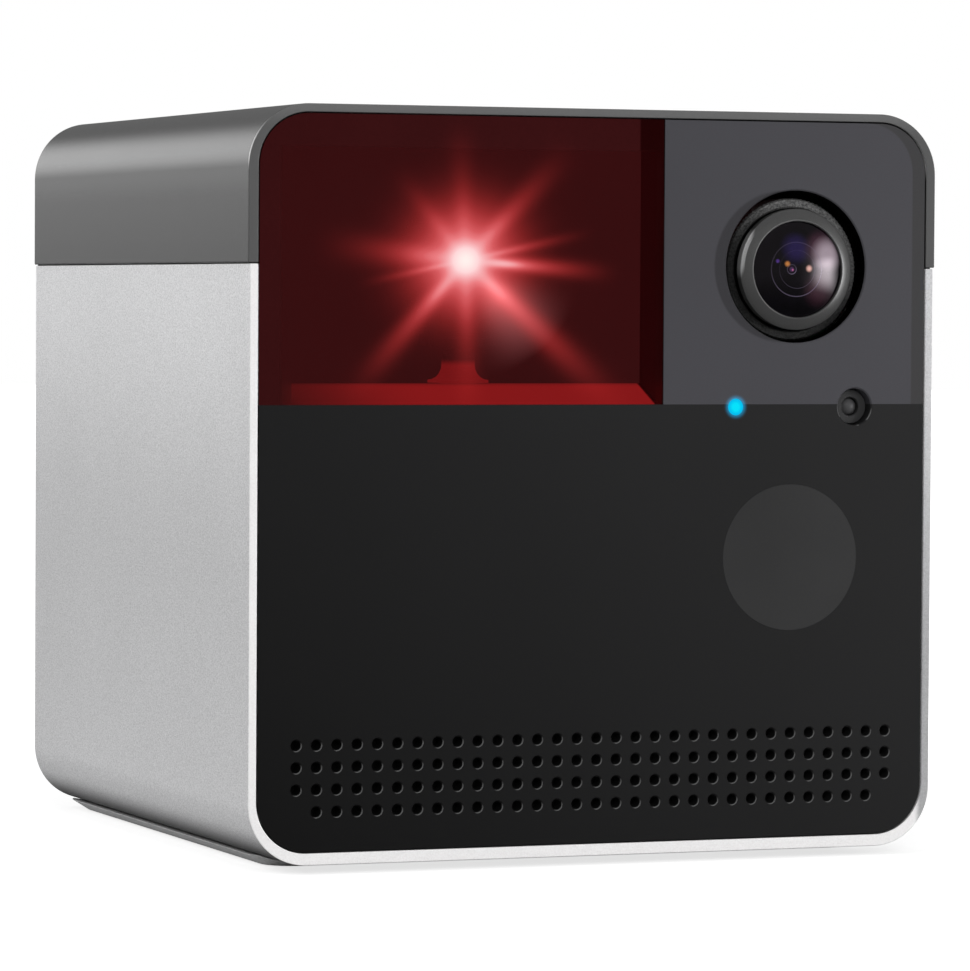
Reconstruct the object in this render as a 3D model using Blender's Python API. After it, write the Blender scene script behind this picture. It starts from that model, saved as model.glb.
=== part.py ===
"""A cube-shaped pet camera with a laser pointer on a motor-driven turret, in metres, front towards -Y."""

import math

import bmesh
import bpy

# Fits, cuts and facets
GAP = 0.0003
EDGE_GAP = 0.00015
OVERRUN = 0.001
MERGE = 0.0000001
CORNER_STEPS = 8
ROUND_SIDES = 32
MIDDLE_SIDES = 24
SMALL_SIDES = 12
GRILLE_SIDES = 8
SHARP_ANGLE = math.radians(35)

# Case
CASE_WIDTH = 0.0806
CASE_DEPTH = 0.081
CASE_HEIGHT = 0.0818
CASE_RADIUS = 0.0066
CASE_WALL = 0.0019
CAP_OVERHANG = 0.0002
CAP_HEIGHT = 0.01705
CAP_TOP_WALL = 0.0021
LIP_THICKNESS = 0.001
LIP_DEPTH = 0.003
RIM = 0.0009
RIM_BOTTOM = 0.0013
PANEL_THICKNESS = 0.002
PANEL_INSET = 0.0001

# Foot pad and tripod nut
FOOT_STAND = 0.0009
PAD_RECESS = 0.0008
PAD_MARGIN = 0.0059
PAD_END_MARGIN = 0.0065
PAD_RADIUS = 0.006
NUT_BORE_RADIUS = 0.0032
NUT_NECK_RADIUS = 0.005
NUT_FLANGE_RADIUS = 0.0072
NUT_FLANGE_THICKNESS = 0.0019

# Camera lens
LENS_FROM_SIDE = 0.01675
LENS_FROM_TOP = 0.01735
LENS_HOLE_RADIUS = 0.00845
LENS_HOLE_RISE = 0.0003
GLASS_RADIUS = 0.0053
GLASS_PROUD = 0.0012
GLASS_EDGE_PROUD = 0.0001
GLASS_THICKNESS = 0.0014
GLASS_STEPS = 6
LENS_RING_RADIUS = 0.0067
LENS_RING_CLEARANCE = 0.0002
LENS_RING_PROUD = 0.0004
LENS_RING_CHAMFER = 0.0002
LENS_RING_DEPTH = 0.0014
BARREL_HEAD_RADIUS = 0.0065
BARREL_HEAD_LENGTH = 0.0058
BARREL_THREAD_RADIUS = 0.0059
BARREL_THREAD_LENGTH = 0.0075
BARREL_BORE_RADIUS = 0.0034
FOCUS_RING_THICKNESS = 0.0011
FOCUS_RING_DEPTH = 0.0015
FOCUS_RING_LENGTH = 0.0034

# Camera module behind the lens
HOLDER_HALF_WIDTH = 0.0087
HOLDER_HALF_HEIGHT = 0.0095
HOLDER_BASE_DEPTH = 0.0044
HOLDER_TUBE_WALL = 0.0012
HOLDER_APERTURE_RADIUS = 0.0044
HOLDER_WEB = 0.0012
FILTER_HALF_WIDTH = 0.0047
FILTER_HALF_HEIGHT = 0.0042
FILTER_THICKNESS = 0.001
FILTER_TRAVEL = 0.0054
FILTER_CLEARANCE = 0.0004
SENSOR_CHIP_HALF_WIDTH = 0.0038
SENSOR_CHIP_HALF_HEIGHT = 0.0032
SENSOR_CHIP_THICKNESS = 0.0008
CAMERA_BOARD_HALF_HEIGHT = 0.012
CAMERA_BOARD_THICKNESS = 0.001

# Window and the chamber behind it
LENS_TO_WINDOW = 0.016
LENS_TO_SPLIT = 0.01495
BEZEL_SIDE_MARGIN = 0.00035
BEZEL_FLOOR_RISE = 0.0022
BEZEL_EDGE = 0.002
BEZEL_DEPTH = 0.0051
BEZEL_WALL = 0.0012
HOUSING_DEPTH = 0.0132
HOUSING_WALL = 0.001
HOUSING_FLOOR = 0.0015
HOUSING_FLOOR_RISE = 0.0019

# Laser turret
PAN_FROM_WINDOW_EDGE = 0.01955
PAN_DEPTH = 0.012
TILT_RISE = 0.01565
STEM_HEIGHT = 0.003
STEM_RADIUS = 0.00185
FLARE_RADIUS = 0.0034
FLARE_HEIGHT = 0.0017
FLARE_EDGE = 0.0003
FLARE_STEPS = 5
SPIGOT_RADIUS = 0.002
STEM_BORE_RADIUS = 0.0013
BUSH_RADIUS = 0.0011
BUSH_BORE_RADIUS = 0.00065
BUSH_FLANGE_RADIUS = 0.0017
BUSH_FLANGE_THICKNESS = 0.0004
SHAFT_RADIUS = 0.0005
YOKE_BASE_RADIUS = 0.0042
YOKE_BASE_THICKNESS = 0.001
YOKE_ARM_THICKNESS = 0.001
YOKE_ARM_HALF_DEPTH = 0.0018
YOKE_CLEARANCE = 0.0004
LASER_RADIUS = 0.0026
LASER_WALL = 0.0007
LASER_NOSE = 0.0027
LASER_TAIL = 0.0035
LASER_END_WALL = 0.0012
LASER_WIRE_RADIUS = 0.0008
LASER_LENS_INSET = 0.0001
LASER_LENS_THICKNESS = 0.0008
LASER_LENS_BULGE = 0.0003
DIODE_LENGTH = 0.0025
TRUNNION_RADIUS = 0.0006
TRUNNION_ROOT = 0.0004

# Turret drives
PAN_MODULE = 0.0004
PAN_GEAR_TEETH = 30
PAN_PINION_TEETH = 12
PAN_GEAR_DROP = 0.0019
PAN_GEAR_THICKNESS = 0.0016
TILT_MODULE = 0.0003
TILT_GEAR_TEETH = 28
TILT_PINION_TEETH = 12
TILT_GEAR_THICKNESS = 0.0012
TILT_MOTOR_RADIUS = 0.002
TILT_SHAFT_RADIUS = 0.0004
TILT_SHAFT_SEAT = 0.0008
BRACKET_DROP = 0.001
BRACKET_THICKNESS = 0.0012
BRACKET_MARGIN = 0.0045
BRACKET_END_MARGIN = 0.0068
BRACKET_LENGTH = 0.0121
POST_RADIUS = 0.0012
POST_INSET = 0.0014
PAN_MOTOR_RADIUS = 0.004
PAN_MOTOR_HEIGHT = 0.0065
MOTOR_SEAT = 0.0017
ADDENDUM_SHARE = 0.9
DEDENDUM_SHARE = 1.15
TOOTH_TIP_SHARE = 0.12
TOOTH_ROOT_SHARE = 0.24

# Status light, light sensor and microphone
LIGHT_FROM_LENS = 0.00719
SENSOR_FROM_LENS = 0.00728
LIGHT_DROP = 0.0003
LIGHT_RADIUS = 0.0008
SENSOR_HOLE_RADIUS = 0.00205
SENSOR_DEPTH = 0.0017
CUP_CLEARANCE = 0.0002
CUP_FLANGE_RADIUS = 0.003
CUP_FLANGE_THICKNESS = 0.001
CUP_LENGTH = 0.0037
DOME_RADIUS = 0.00095
DOME_RISE = 0.0008
DOME_STEPS = 4
LED_HALF = 0.0008
LED_THICKNESS = 0.0006
MICROPHONE_FROM_LENS = 0.002
MICROPHONE_DROP = 0.0035
MICROPHONE_HALF_WIDTH = 0.0019
MICROPHONE_HALF_HEIGHT = 0.0015
MICROPHONE_THICKNESS = 0.0011

# Infrared window, its lamps and the front board
INFRARED_FROM_LENS = 0.0005
INFRARED_DROP_SHARE = 0.4657
INFRARED_RADIUS = 0.008
INFRARED_THICKNESS = 0.0015
INFRARED_LAMPS = 3
LAMP_RADIUS = 0.0015
LAMP_LENGTH = 0.0029
LAMP_SPREAD = 0.0042
FRONT_BOARD_SETBACK = 0.0041
FRONT_BOARD_THICKNESS = 0.001
FRONT_BOARD_LEFT = 0.00865
FRONT_BOARD_RIGHT = 0.0104
FRONT_BOARD_ABOVE_SPLIT = 0.0034
FRONT_BOARD_BELOW_INFRARED = 0.0094
BOSS_RADIUS = 0.0015
BOSS_EDGE = 0.003
BOSS_DROP = 0.009

# Speaker and its grille
GRILLE_PITCH = 0.002325
GRILLE_ROW_PITCH = 0.0024
GRILLE_HOLE_RADIUS = 0.00062
GRILLE_SIDE_MARGIN = 0.0043
GRILLE_TOP_ROW = 0.0130
GRILLE_ROWS = 4
CLOTH_THICKNESS = 0.0004
CLOTH_MARGIN = 0.0014
SPEAKER_BOX_INSET = 0.0048
SPEAKER_TO_BOARD = 0.0109
SPEAKER_TO_MOTOR = 0.0045
SPEAKER_SIDE_MARGIN = 0.004
SPEAKER_END_MARGIN = 0.00135
SPEAKER_FLANGE_SHARE = 0.186
SPEAKER_FLANGE_THICKNESS = 0.0012
BASKET_SHOULDER_SHARE = 0.1
BASKET_FLOOR_SHARE = 0.486
BASKET_HOLE_SHARE = 0.343
BASKET_DEPTH = 0.0067
BASKET_WALL = 0.001
CONE_CLEARANCE = 0.0004
CONE_SETBACK = 0.0005
CONE_DEPTH = 0.0029
CONE_THICKNESS = 0.0005
COIL_SHARE = 0.307
COIL_WALL = 0.0005
COIL_LENGTH = 0.0053
DUST_CAP_RISE = 0.001
MAGNET_SHARE = 0.586
MAGNET_LENGTH = 0.0057
MAGNET_GROOVE_DEPTH = 0.002
SPEAKER_BOX_WALL = 0.0012

# Inner chassis and circuit boards
CHASSIS_PLATE = 0.0018
CHASSIS_WALL = 0.0014
CHASSIS_RADIUS = 0.004
CHASSIS_SLOT_HALF_WIDTH = 0.01
CHASSIS_SLOT_HALF_HEIGHT = 0.004
SCREW_POST_RADIUS = 0.003
SCREW_POST_INSET = 0.0034
SCREW_POST_LENGTH = 0.014
MAIN_BOARD_MARGIN = 0.0042
MAIN_BOARD_THICKNESS = 0.0016
MAIN_BOARD_STANDOFF = 0.0081
STANDOFF_RADIUS = 0.0022
STANDOFF_INSET = 0.004
HEAT_SINK_HALF = 0.012
HEAT_SINK_BASE = 0.002
FIN_COUNT = 7
FIN_HEIGHT = 0.006
FIN_THICKNESS = 0.0012
ANTENNA_HALF_WIDTH = 0.015
ANTENNA_DEPTH = 0.007
ANTENNA_THICKNESS = 0.0006
POWER_BOARD_HALF_WIDTH = 0.011
POWER_BOARD_LENGTH = 0.0188
POWER_BOARD_THICKNESS = 0.0012
POWER_POST_HEIGHT = 0.0032
POWER_POST_RADIUS = 0.0018
POWER_POST_SPREAD = 0.008
POWER_POST_SETBACK = 0.014

# Power port
PORT_HALF_WIDTH = 0.0045
PORT_HALF_HEIGHT = 0.00165
PORT_LENGTH = 0.0078
PORT_WALL = 0.00035
PORT_END_WALL = 0.001
TONGUE_HALF_WIDTH = 0.00335
TONGUE_HALF_HEIGHT = 0.00035
TONGUE_INSET = 0.0008

# Rear cover, its screws and the set-up button
SCREW_HEAD_RADIUS = 0.0024
SCREW_HEAD_THICKNESS = 0.0009
SCREW_HEAD_INSET = 0.0002
SCREW_RADIUS = 0.001
SCREW_LENGTH = 0.0101
SOCKET_SIDES = 6
SOCKET_RADIUS = 0.0009
SOCKET_DEPTH = 0.0006
VENT_COUNT = 6
VENT_HALF_WIDTH = 0.015
VENT_HALF_HEIGHT = 0.0008
VENT_PITCH = 0.004
VENT_FROM_TOP = 0.014
BUTTON_HEIGHT = 0.0231
BUTTON_RADIUS = 0.0027
BUTTON_CLEARANCE = 0.00025
BUTTON_PROUD = 0.0013
BUTTON_CHAMFER = 0.0003
BUTTON_FLANGE_RADIUS = 0.0036
BUTTON_FLANGE_THICKNESS = 0.001
BUTTON_STEM_RADIUS = 0.001
BUTTON_STEM_LENGTH = 0.0005
BUTTON_TRAVEL = 0.0005
SWITCH_CLEARANCE = 0.0001
SWITCH_HALF = 0.002
SWITCH_THICKNESS = 0.0017
BUTTON_BOARD_HALF_WIDTH = 0.009
BUTTON_BOARD_HALF_HEIGHT = 0.0035
BUTTON_BOARD_THICKNESS = 0.001
BUTTON_POST_RADIUS = 0.0014
BUTTON_POST_SPREAD = 0.0068

# Places worked out from the sizes above
CASE_HALF = CASE_WIDTH / 2
CAP_HALF = CASE_HALF + CAP_OVERHANG
FRONT = -CASE_DEPTH / 2
BACK = CASE_DEPTH / 2
CASE_BOTTOM = FOOT_STAND
CASE_FLOOR = CASE_BOTTOM + CASE_WALL
CASE_TOP = CASE_BOTTOM + CASE_HEIGHT
CAP_BOTTOM = CASE_TOP - CAP_HEIGHT
CASE_EDGE = CAP_BOTTOM - GAP
CAP_CEILING = CASE_TOP - CAP_TOP_WALL
LIP_HALF = CASE_HALF - CASE_WALL - GAP
CAP_INNER_HALF = LIP_HALF - LIP_THICKNESS
CAP_RADIUS = CASE_RADIUS + CAP_OVERHANG
CAP_INNER_RADIUS = CAP_RADIUS + CAP_INNER_HALF - CAP_HALF
CORE_RADIUS = CAP_INNER_RADIUS - GAP
CORE_HALF = CAP_INNER_HALF - GAP
CORE_BOTTOM = CASE_FLOOR + GAP
CORE_TOP = CAP_CEILING - GAP
PANEL_FRONT = FRONT + PANEL_INSET
PANEL_BACK = PANEL_FRONT + PANEL_THICKNESS
BEHIND_PANEL = PANEL_BACK + GAP
COVER_BACK = BACK - PANEL_INSET
COVER_FRONT = COVER_BACK - PANEL_THICKNESS
CORE_BACK = COVER_FRONT - GAP
LENS_X = CASE_HALF - LENS_FROM_SIDE
LENS_Z = CASE_TOP - LENS_FROM_TOP
WINDOW_RIGHT = LENS_X - LENS_TO_WINDOW
SPLIT = LENS_Z - LENS_TO_SPLIT
BEZEL_RIGHT = WINDOW_RIGHT + BEZEL_SIDE_MARGIN
BEZEL_BACK = BEHIND_PANEL + BEZEL_DEPTH
BEZEL_BOTTOM = SPLIT - BEZEL_WALL
HOUSING_RIGHT = LENS_X - HOLDER_HALF_WIDTH - GAP
HOUSING_FRONT = BEZEL_BACK + GAP
HOUSING_BACK = HOUSING_FRONT + HOUSING_DEPTH
CHAMBER_FLOOR = SPLIT + HOUSING_FLOOR_RISE
HOUSING_BOTTOM = CHAMBER_FLOOR - HOUSING_FLOOR
CHASSIS_FRONT = HOUSING_BACK + GAP
CHASSIS_PLATE_BACK = CHASSIS_FRONT + CHASSIS_PLATE
PAN_X = WINDOW_RIGHT - PAN_FROM_WINDOW_EDGE
PAN_Y = FRONT + PAN_DEPTH
TILT_Z = SPLIT + TILT_RISE
STEM_TOP = CHAMBER_FLOOR + GAP + STEM_HEIGHT
YOKE_BOTTOM = STEM_TOP + GAP + BUSH_FLANGE_THICKNESS + GAP
YOKE_INNER = LASER_RADIUS + YOKE_CLEARANCE
YOKE_OUTER = YOKE_INNER + YOKE_ARM_THICKNESS
TRUNNION_HOLE_RADIUS = TRUNNION_RADIUS + GAP
PAN_GEAR_TOP = HOUSING_BOTTOM - PAN_GEAR_DROP
PAN_GEAR_BOTTOM = PAN_GEAR_TOP - PAN_GEAR_THICKNESS
PAN_CENTRES = PAN_MODULE * (PAN_GEAR_TEETH + PAN_PINION_TEETH) / 2
PINION_X = PAN_X + PAN_CENTRES
BRACKET_TOP = PAN_GEAR_BOTTOM - BRACKET_DROP
BRACKET_BOTTOM = BRACKET_TOP - BRACKET_THICKNESS
PAN_MOTOR_TOP = BRACKET_BOTTOM - GAP
TILT_CENTRES = TILT_MODULE * (TILT_GEAR_TEETH + TILT_PINION_TEETH) / 2
TILT_MOTOR_Z = TILT_Z - TILT_CENTRES
TILT_MOTOR_HALF = YOKE_INNER - GAP
TILT_GEAR_SIDE = -YOKE_OUTER - GAP
SHAFT_HOLE_RADIUS = SHAFT_RADIUS + GAP
CAMERA_BOARD_BACK = CHASSIS_FRONT - GAP
CAMERA_BOARD_FRONT = CAMERA_BOARD_BACK - CAMERA_BOARD_THICKNESS
HOLDER_BACK = CAMERA_BOARD_FRONT - GAP
HOLDER_BASE_FRONT = HOLDER_BACK - HOLDER_BASE_DEPTH
RING_BACK = FRONT - LENS_RING_PROUD + LENS_RING_DEPTH + LENS_RING_CHAMFER
BARREL_FRONT = RING_BACK + GAP
THREAD_FRONT = BARREL_FRONT + BARREL_HEAD_LENGTH
BARREL_BACK = THREAD_FRONT + BARREL_THREAD_LENGTH
HOLDER_TUBE_FRONT = THREAD_FRONT + GAP
HOLDER_BORE_RADIUS = BARREL_THREAD_RADIUS + GAP
FRONT_BOARD_FRONT = BEHIND_PANEL + FRONT_BOARD_SETBACK
FRONT_BOARD_BACK = FRONT_BOARD_FRONT + FRONT_BOARD_THICKNESS
ON_FRONT_BOARD = FRONT_BOARD_FRONT - GAP
LIGHT_X = LENS_X - LIGHT_FROM_LENS
SENSOR_X = LENS_X + SENSOR_FROM_LENS
LIGHT_Z = SPLIT - LIGHT_DROP
LIGHT_BACK = ON_FRONT_BOARD - LED_THICKNESS - GAP
INFRARED_X = LENS_X - INFRARED_FROM_LENS
GRILLE_TOP = CASE_BOTTOM + GRILLE_TOP_ROW
INFRARED_Z = SPLIT - INFRARED_DROP_SHARE * (SPLIT - GRILLE_TOP)
FRONT_BOARD_BOTTOM = INFRARED_Z - FRONT_BOARD_BELOW_INFRARED
GRILLE_HALF = CASE_HALF - RIM - GRILLE_SIDE_MARGIN
GRILLE_COLUMNS = 1 + int(2 * GRILLE_HALF / GRILLE_PITCH)
GRILLE_SPAN = GRILLE_PITCH * (GRILLE_COLUMNS - 1) / 2
GRILLE_BOTTOM = GRILLE_TOP - GRILLE_ROW_PITCH * (GRILLE_ROWS - 1)
SPEAKER_BOX_LEFT = SPEAKER_BOX_INSET - CORE_HALF
SPEAKER_BOX_RIGHT = LENS_X - FRONT_BOARD_LEFT - SPEAKER_TO_BOARD
SPEAKER_BOX_TOP = PAN_MOTOR_TOP - PAN_MOTOR_HEIGHT - SPEAKER_TO_MOTOR
SPEAKER_X = (SPEAKER_BOX_LEFT + SPEAKER_BOX_RIGHT) / 2
SPEAKER_Z = (CORE_BOTTOM + SPEAKER_BOX_TOP) / 2
SPEAKER_RADIUS = min(
    (SPEAKER_BOX_RIGHT - SPEAKER_BOX_LEFT) / 2 - SPEAKER_SIDE_MARGIN,
    (SPEAKER_BOX_TOP - CORE_BOTTOM) / 2 - SPEAKER_END_MARGIN,
)
SPEAKER_FLANGE_INNER = SPEAKER_RADIUS * (1 - SPEAKER_FLANGE_SHARE)
BASKET_RADIUS = SPEAKER_RADIUS * (1 - BASKET_SHOULDER_SHARE)
BASKET_FLOOR_RADIUS = SPEAKER_RADIUS * BASKET_FLOOR_SHARE
BASKET_HOLE_RADIUS = SPEAKER_RADIUS * BASKET_HOLE_SHARE
COIL_RADIUS = SPEAKER_RADIUS * COIL_SHARE
MAGNET_RADIUS = SPEAKER_RADIUS * MAGNET_SHARE
SPEAKER_FRONT = BEHIND_PANEL + CLOTH_THICKNESS + GAP
BASKET_FRONT = SPEAKER_FRONT + SPEAKER_FLANGE_THICKNESS
BASKET_BACK = BASKET_FRONT + BASKET_DEPTH
SPEAKER_BOX_FRONT = BASKET_FRONT + GAP
SPEAKER_BOX_BACK = CHASSIS_FRONT - GAP
CONE_RADIUS = SPEAKER_FLANGE_INNER - CONE_CLEARANCE
POST_X = CORE_HALF - SCREW_POST_INSET
POST_LOW = CORE_BOTTOM + SCREW_POST_INSET
POST_HIGH = CORE_TOP - SCREW_POST_INSET
SCREW_HOLE_RADIUS = SCREW_RADIUS + GAP
MAIN_BOARD_HALF = CORE_HALF - CHASSIS_WALL - MAIN_BOARD_MARGIN
MAIN_BOARD_LOW = CORE_BOTTOM + CHASSIS_WALL + MAIN_BOARD_MARGIN
MAIN_BOARD_HIGH = CORE_TOP - CHASSIS_WALL - MAIN_BOARD_MARGIN
MAIN_BOARD_FRONT = CHASSIS_PLATE_BACK + MAIN_BOARD_STANDOFF + GAP
MAIN_BOARD_BACK = MAIN_BOARD_FRONT + MAIN_BOARD_THICKNESS
MIDDLE_Z = (CORE_BOTTOM + CORE_TOP) / 2
CHASSIS_FLOOR = CORE_BOTTOM + CHASSIS_WALL
POWER_BOARD_BOTTOM = CHASSIS_FLOOR + POWER_POST_HEIGHT + GAP
POWER_BOARD_TOP = POWER_BOARD_BOTTOM + POWER_BOARD_THICKNESS
PORT_Z = POWER_BOARD_TOP + GAP + PORT_HALF_HEIGHT
PORT_FRONT = COVER_BACK - PORT_LENGTH
POWER_POST_Y = CORE_BACK - POWER_POST_SETBACK
SCREW_HEAD_BACK = COVER_BACK - SCREW_HEAD_INSET
SCREW_HEAD_FRONT = SCREW_HEAD_BACK - SCREW_HEAD_THICKNESS
BUTTON_Z = CASE_BOTTOM + BUTTON_HEIGHT
BUTTON_STEM_TIP = CORE_BACK - BUTTON_FLANGE_THICKNESS - BUTTON_STEM_LENGTH
SWITCH_BACK = BUTTON_STEM_TIP - BUTTON_TRAVEL - SWITCH_CLEARANCE
SWITCH_FRONT = SWITCH_BACK - SWITCH_THICKNESS
BUTTON_BOARD_BACK = SWITCH_FRONT - GAP
BUTTON_BOARD_FRONT = BUTTON_BOARD_BACK - BUTTON_BOARD_THICKNESS

# Finishes: colour, roughness, metallic
SILVER = ((0.72, 0.72, 0.73), 0.42, 0.85)
CAP_GREY = ((0.16, 0.16, 0.162), 0.38, 0.0)
PANEL_BLACK = ((0.014, 0.014, 0.014), 0.3, 0.0)
WINDOW_RED = ((0.10, 0.004, 0.006), 0.08, 0.0)
DARK_PLASTIC = ((0.02, 0.02, 0.022), 0.5, 0.0)
RED_PLASTIC = ((0.12, 0.01, 0.01), 0.5, 0.0)
STEEL = ((0.55, 0.55, 0.56), 0.3, 1.0)
BRASS = ((0.7, 0.52, 0.2), 0.3, 1.0)
GLASS = ((0.02, 0.02, 0.03), 0.05, 0.0)
LENS_METAL = ((0.2, 0.2, 0.2), 0.35, 0.9)
BOARD_GREEN = ((0.02, 0.12, 0.05), 0.45, 0.0)
CHIP_BLACK = ((0.02, 0.02, 0.02), 0.4, 0.0)
CLEAR_PLASTIC = ((0.7, 0.75, 0.8), 0.1, 0.0)
LIGHT_BLUE = ((0.0, 0.55, 1.0), 0.2, 0.0)
INFRARED_BLACK = ((0.04, 0.04, 0.04), 0.45, 0.0)
CLOTH_BLACK = ((0.01, 0.01, 0.01), 0.9, 0.0)
PAPER = ((0.05, 0.05, 0.05), 0.8, 0.0)
RUBBER_GREY = ((0.3, 0.3, 0.3), 0.8, 0.0)
BLACK_METAL = ((0.03, 0.03, 0.03), 0.45, 0.6)

AXES = {"X": (1, 0, 0), "Y": (0, 1, 0), "Z": (0, 0, 1)}


def clear_scene():
    for obj in list(bpy.data.objects):
        bpy.data.objects.remove(obj)


def in_space(axis, first, second, along):
    """A point from its two places across the axis and its place along it."""
    if axis == "X":
        return (along, first, second)
    if axis == "Y":
        return (first, along, second)
    return (first, second, along)


def arc(centre, radius, start, sweep, steps=CORNER_STEPS):
    angles = [start + sweep * step / steps for step in range(steps + 1)]
    return [(centre[0] + radius * math.cos(a), centre[1] + radius * math.sin(a)) for a in angles]


def corner(x, z, radius, start, inward_x, inward_z):
    if radius <= 0:
        return [(x, z)]
    return arc((x + inward_x * radius, z + inward_z * radius), radius, start, math.pi / 2)


def box_outline(left, right, low, high, lower_radius=0, upper_radius=None):
    """A rectangle with round corners, from its lower left corner and round by the right."""
    upper = lower_radius if upper_radius is None else upper_radius
    limit = min(right - left, high - low) / 2
    lower = min(lower_radius, limit)
    upper = min(upper, limit)
    points = corner(left, low, lower, math.pi, 1, 1)
    points += corner(right, low, lower, -math.pi / 2, -1, 1)
    points += corner(right, high, upper, 0, -1, -1)
    points += corner(left, high, upper, math.pi / 2, 1, -1)
    return points


def circle_outline(centre, radius, sides=ROUND_SIDES):
    return arc(centre, radius, math.pi / sides, 2 * math.pi, sides)[:-1]


def gear_outline(teeth, module, turn):
    """Straight-sided teeth round the origin; the first tooth's middle lies at the angle turn."""
    pitch_radius = module * teeth / 2
    tip = pitch_radius + module * ADDENDUM_SHARE
    root = pitch_radius - module * DEDENDUM_SHARE
    pitch = 2 * math.pi / teeth
    flank = [
        (root, -TOOTH_ROOT_SHARE),
        (tip, -TOOTH_TIP_SHARE),
        (tip, TOOTH_TIP_SHARE),
        (root, TOOTH_ROOT_SHARE),
    ]
    points = []
    for tooth in range(teeth):
        middle = turn + tooth * pitch
        for radius, share in flank:
            angle = middle + share * pitch
            points.append((radius * math.cos(angle), radius * math.sin(angle)))
    return points


def add_object(name, bm, origin):
    bmesh.ops.recalc_face_normals(bm, faces=bm.faces[:])
    mesh = bpy.data.meshes.new(name)
    bm.to_mesh(mesh)
    bm.free()
    mesh.shade_smooth()
    mesh.set_sharp_from_angle(angle=SHARP_ANGLE)
    obj = bpy.data.objects.new(name, mesh)
    obj.location = origin
    bpy.context.scene.collection.objects.link(obj)
    return obj


def add_prism(bm, outline, axis, start, end):
    low = [bm.verts.new(in_space(axis, first, second, start)) for first, second in outline]
    face = bm.faces.new(low)
    grown = bmesh.ops.extrude_face_region(bm, geom=[face])["geom"]
    moved = [item for item in grown if isinstance(item, bmesh.types.BMVert)]
    bmesh.ops.translate(bm, verts=moved, vec=in_space(axis, 0, 0, end - start))


def prism(name, outline, axis, start, end, origin=(0, 0, 0)):
    """An outline carried along an axis from start to end, both counted from the origin given."""
    bm = bmesh.new()
    add_prism(bm, outline, axis, start, end)
    return add_object(name, bm, origin)


def turned(name, profile, axis, origin, sides=ROUND_SIDES):
    """A profile of radius and place along the axis, spun round; closed unless it meets the axis."""
    bm = bmesh.new()
    verts = [bm.verts.new(in_space(axis, radius, 0, along)) for radius, along in profile]
    edges = [bm.edges.new(pair) for pair in zip(verts, verts[1:])]
    if profile[0][0] > 0:
        edges.append(bm.edges.new((verts[-1], verts[0])))
    bmesh.ops.spin(
        bm,
        geom=verts + edges,
        cent=(0, 0, 0),
        axis=AXES[axis],
        angle=2 * math.pi,
        steps=sides,
        use_merge=True,
    )
    bmesh.ops.remove_doubles(bm, verts=bm.verts[:], dist=MERGE)
    return add_object(name, bm, origin)


def combine(target, other, operation):
    modifier = target.modifiers.new(other.name, "BOOLEAN")
    modifier.operation = operation
    modifier.solver = "EXACT"
    modifier.object = other
    other.hide_render = True
    other.display_type = "WIRE"


def cut(target, *cutters):
    for cutter in cutters:
        combine(target, cutter, "DIFFERENCE")


def join(target, *others):
    for other in others:
        combine(target, other, "UNION")


def paint(obj, finish):
    colour, roughness, metallic = finish
    material = bpy.data.materials.new(obj.name)
    material.use_nodes = True
    shader = material.node_tree.nodes["Principled BSDF"]
    shader.inputs["Base Color"].default_value = (*colour, 1)
    shader.inputs["Roughness"].default_value = roughness
    shader.inputs["Metallic"].default_value = metallic
    obj.data.materials.append(material)
    return obj


def add_axis(name, place, parent=None):
    empty = bpy.data.objects.new(name, None)
    empty.location = place
    bpy.context.scene.collection.objects.link(empty)
    if parent:
        carry(parent, empty)
    return empty


def carry(parent, *pieces):
    """Parents the pieces where they stand."""
    bpy.context.view_layer.update()
    for piece in pieces:
        piece.parent = parent
        piece.matrix_parent_inverse = parent.matrix_world.inverted()


def face_outline(clearance):
    """The front or rear opening inside the case's rim, drawn in by a clearance."""
    half = CASE_HALF - RIM - clearance
    radius = CASE_RADIUS - RIM - clearance
    low = CASE_BOTTOM + RIM_BOTTOM + clearance
    return box_outline(-half, half, low, CASE_TOP - RIM - clearance, radius)


def make_case():
    rebate = PANEL_INSET + PANEL_THICKNESS + GAP
    rebates = [
        prism("cut_front_rebate", face_outline(0), "Y", FRONT - OVERRUN, FRONT + rebate),
        prism("cut_rear_rebate", face_outline(0), "Y", BACK - rebate, BACK + OVERRUN),
    ]
    make_lower_shell(rebates)
    make_top_cover(rebates)


def pad_outline(clearance):
    half = CASE_HALF - PAD_MARGIN + clearance
    end = BACK - PAD_END_MARGIN + clearance
    return box_outline(-half, half, -end, end, PAD_RADIUS + clearance)


def make_lower_shell(rebates):
    outer = box_outline(-CASE_HALF, CASE_HALF, CASE_BOTTOM, CASE_EDGE, CASE_RADIUS, 0)
    shell = prism("lower_shell", outer, "Y", FRONT, BACK)
    half = CASE_HALF - CASE_WALL
    inner = box_outline(-half, half, CASE_FLOOR, CASE_EDGE + OVERRUN, CASE_RADIUS - CASE_WALL, 0)
    hollow = prism("cut_case_hollow", inner, "Y", FRONT - OVERRUN, BACK + OVERRUN)
    below = CASE_BOTTOM - OVERRUN
    recess = prism("cut_pad_recess", pad_outline(EDGE_GAP), "Z", below, CASE_BOTTOM + PAD_RECESS)
    neck = circle_outline((0, 0), NUT_NECK_RADIUS + GAP, MIDDLE_SIDES)
    hole = prism("cut_nut_neck", neck, "Z", below, CASE_FLOOR + OVERRUN)
    cut(shell, hollow, *rebates, recess, hole)
    paint(shell, SILVER)


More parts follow.
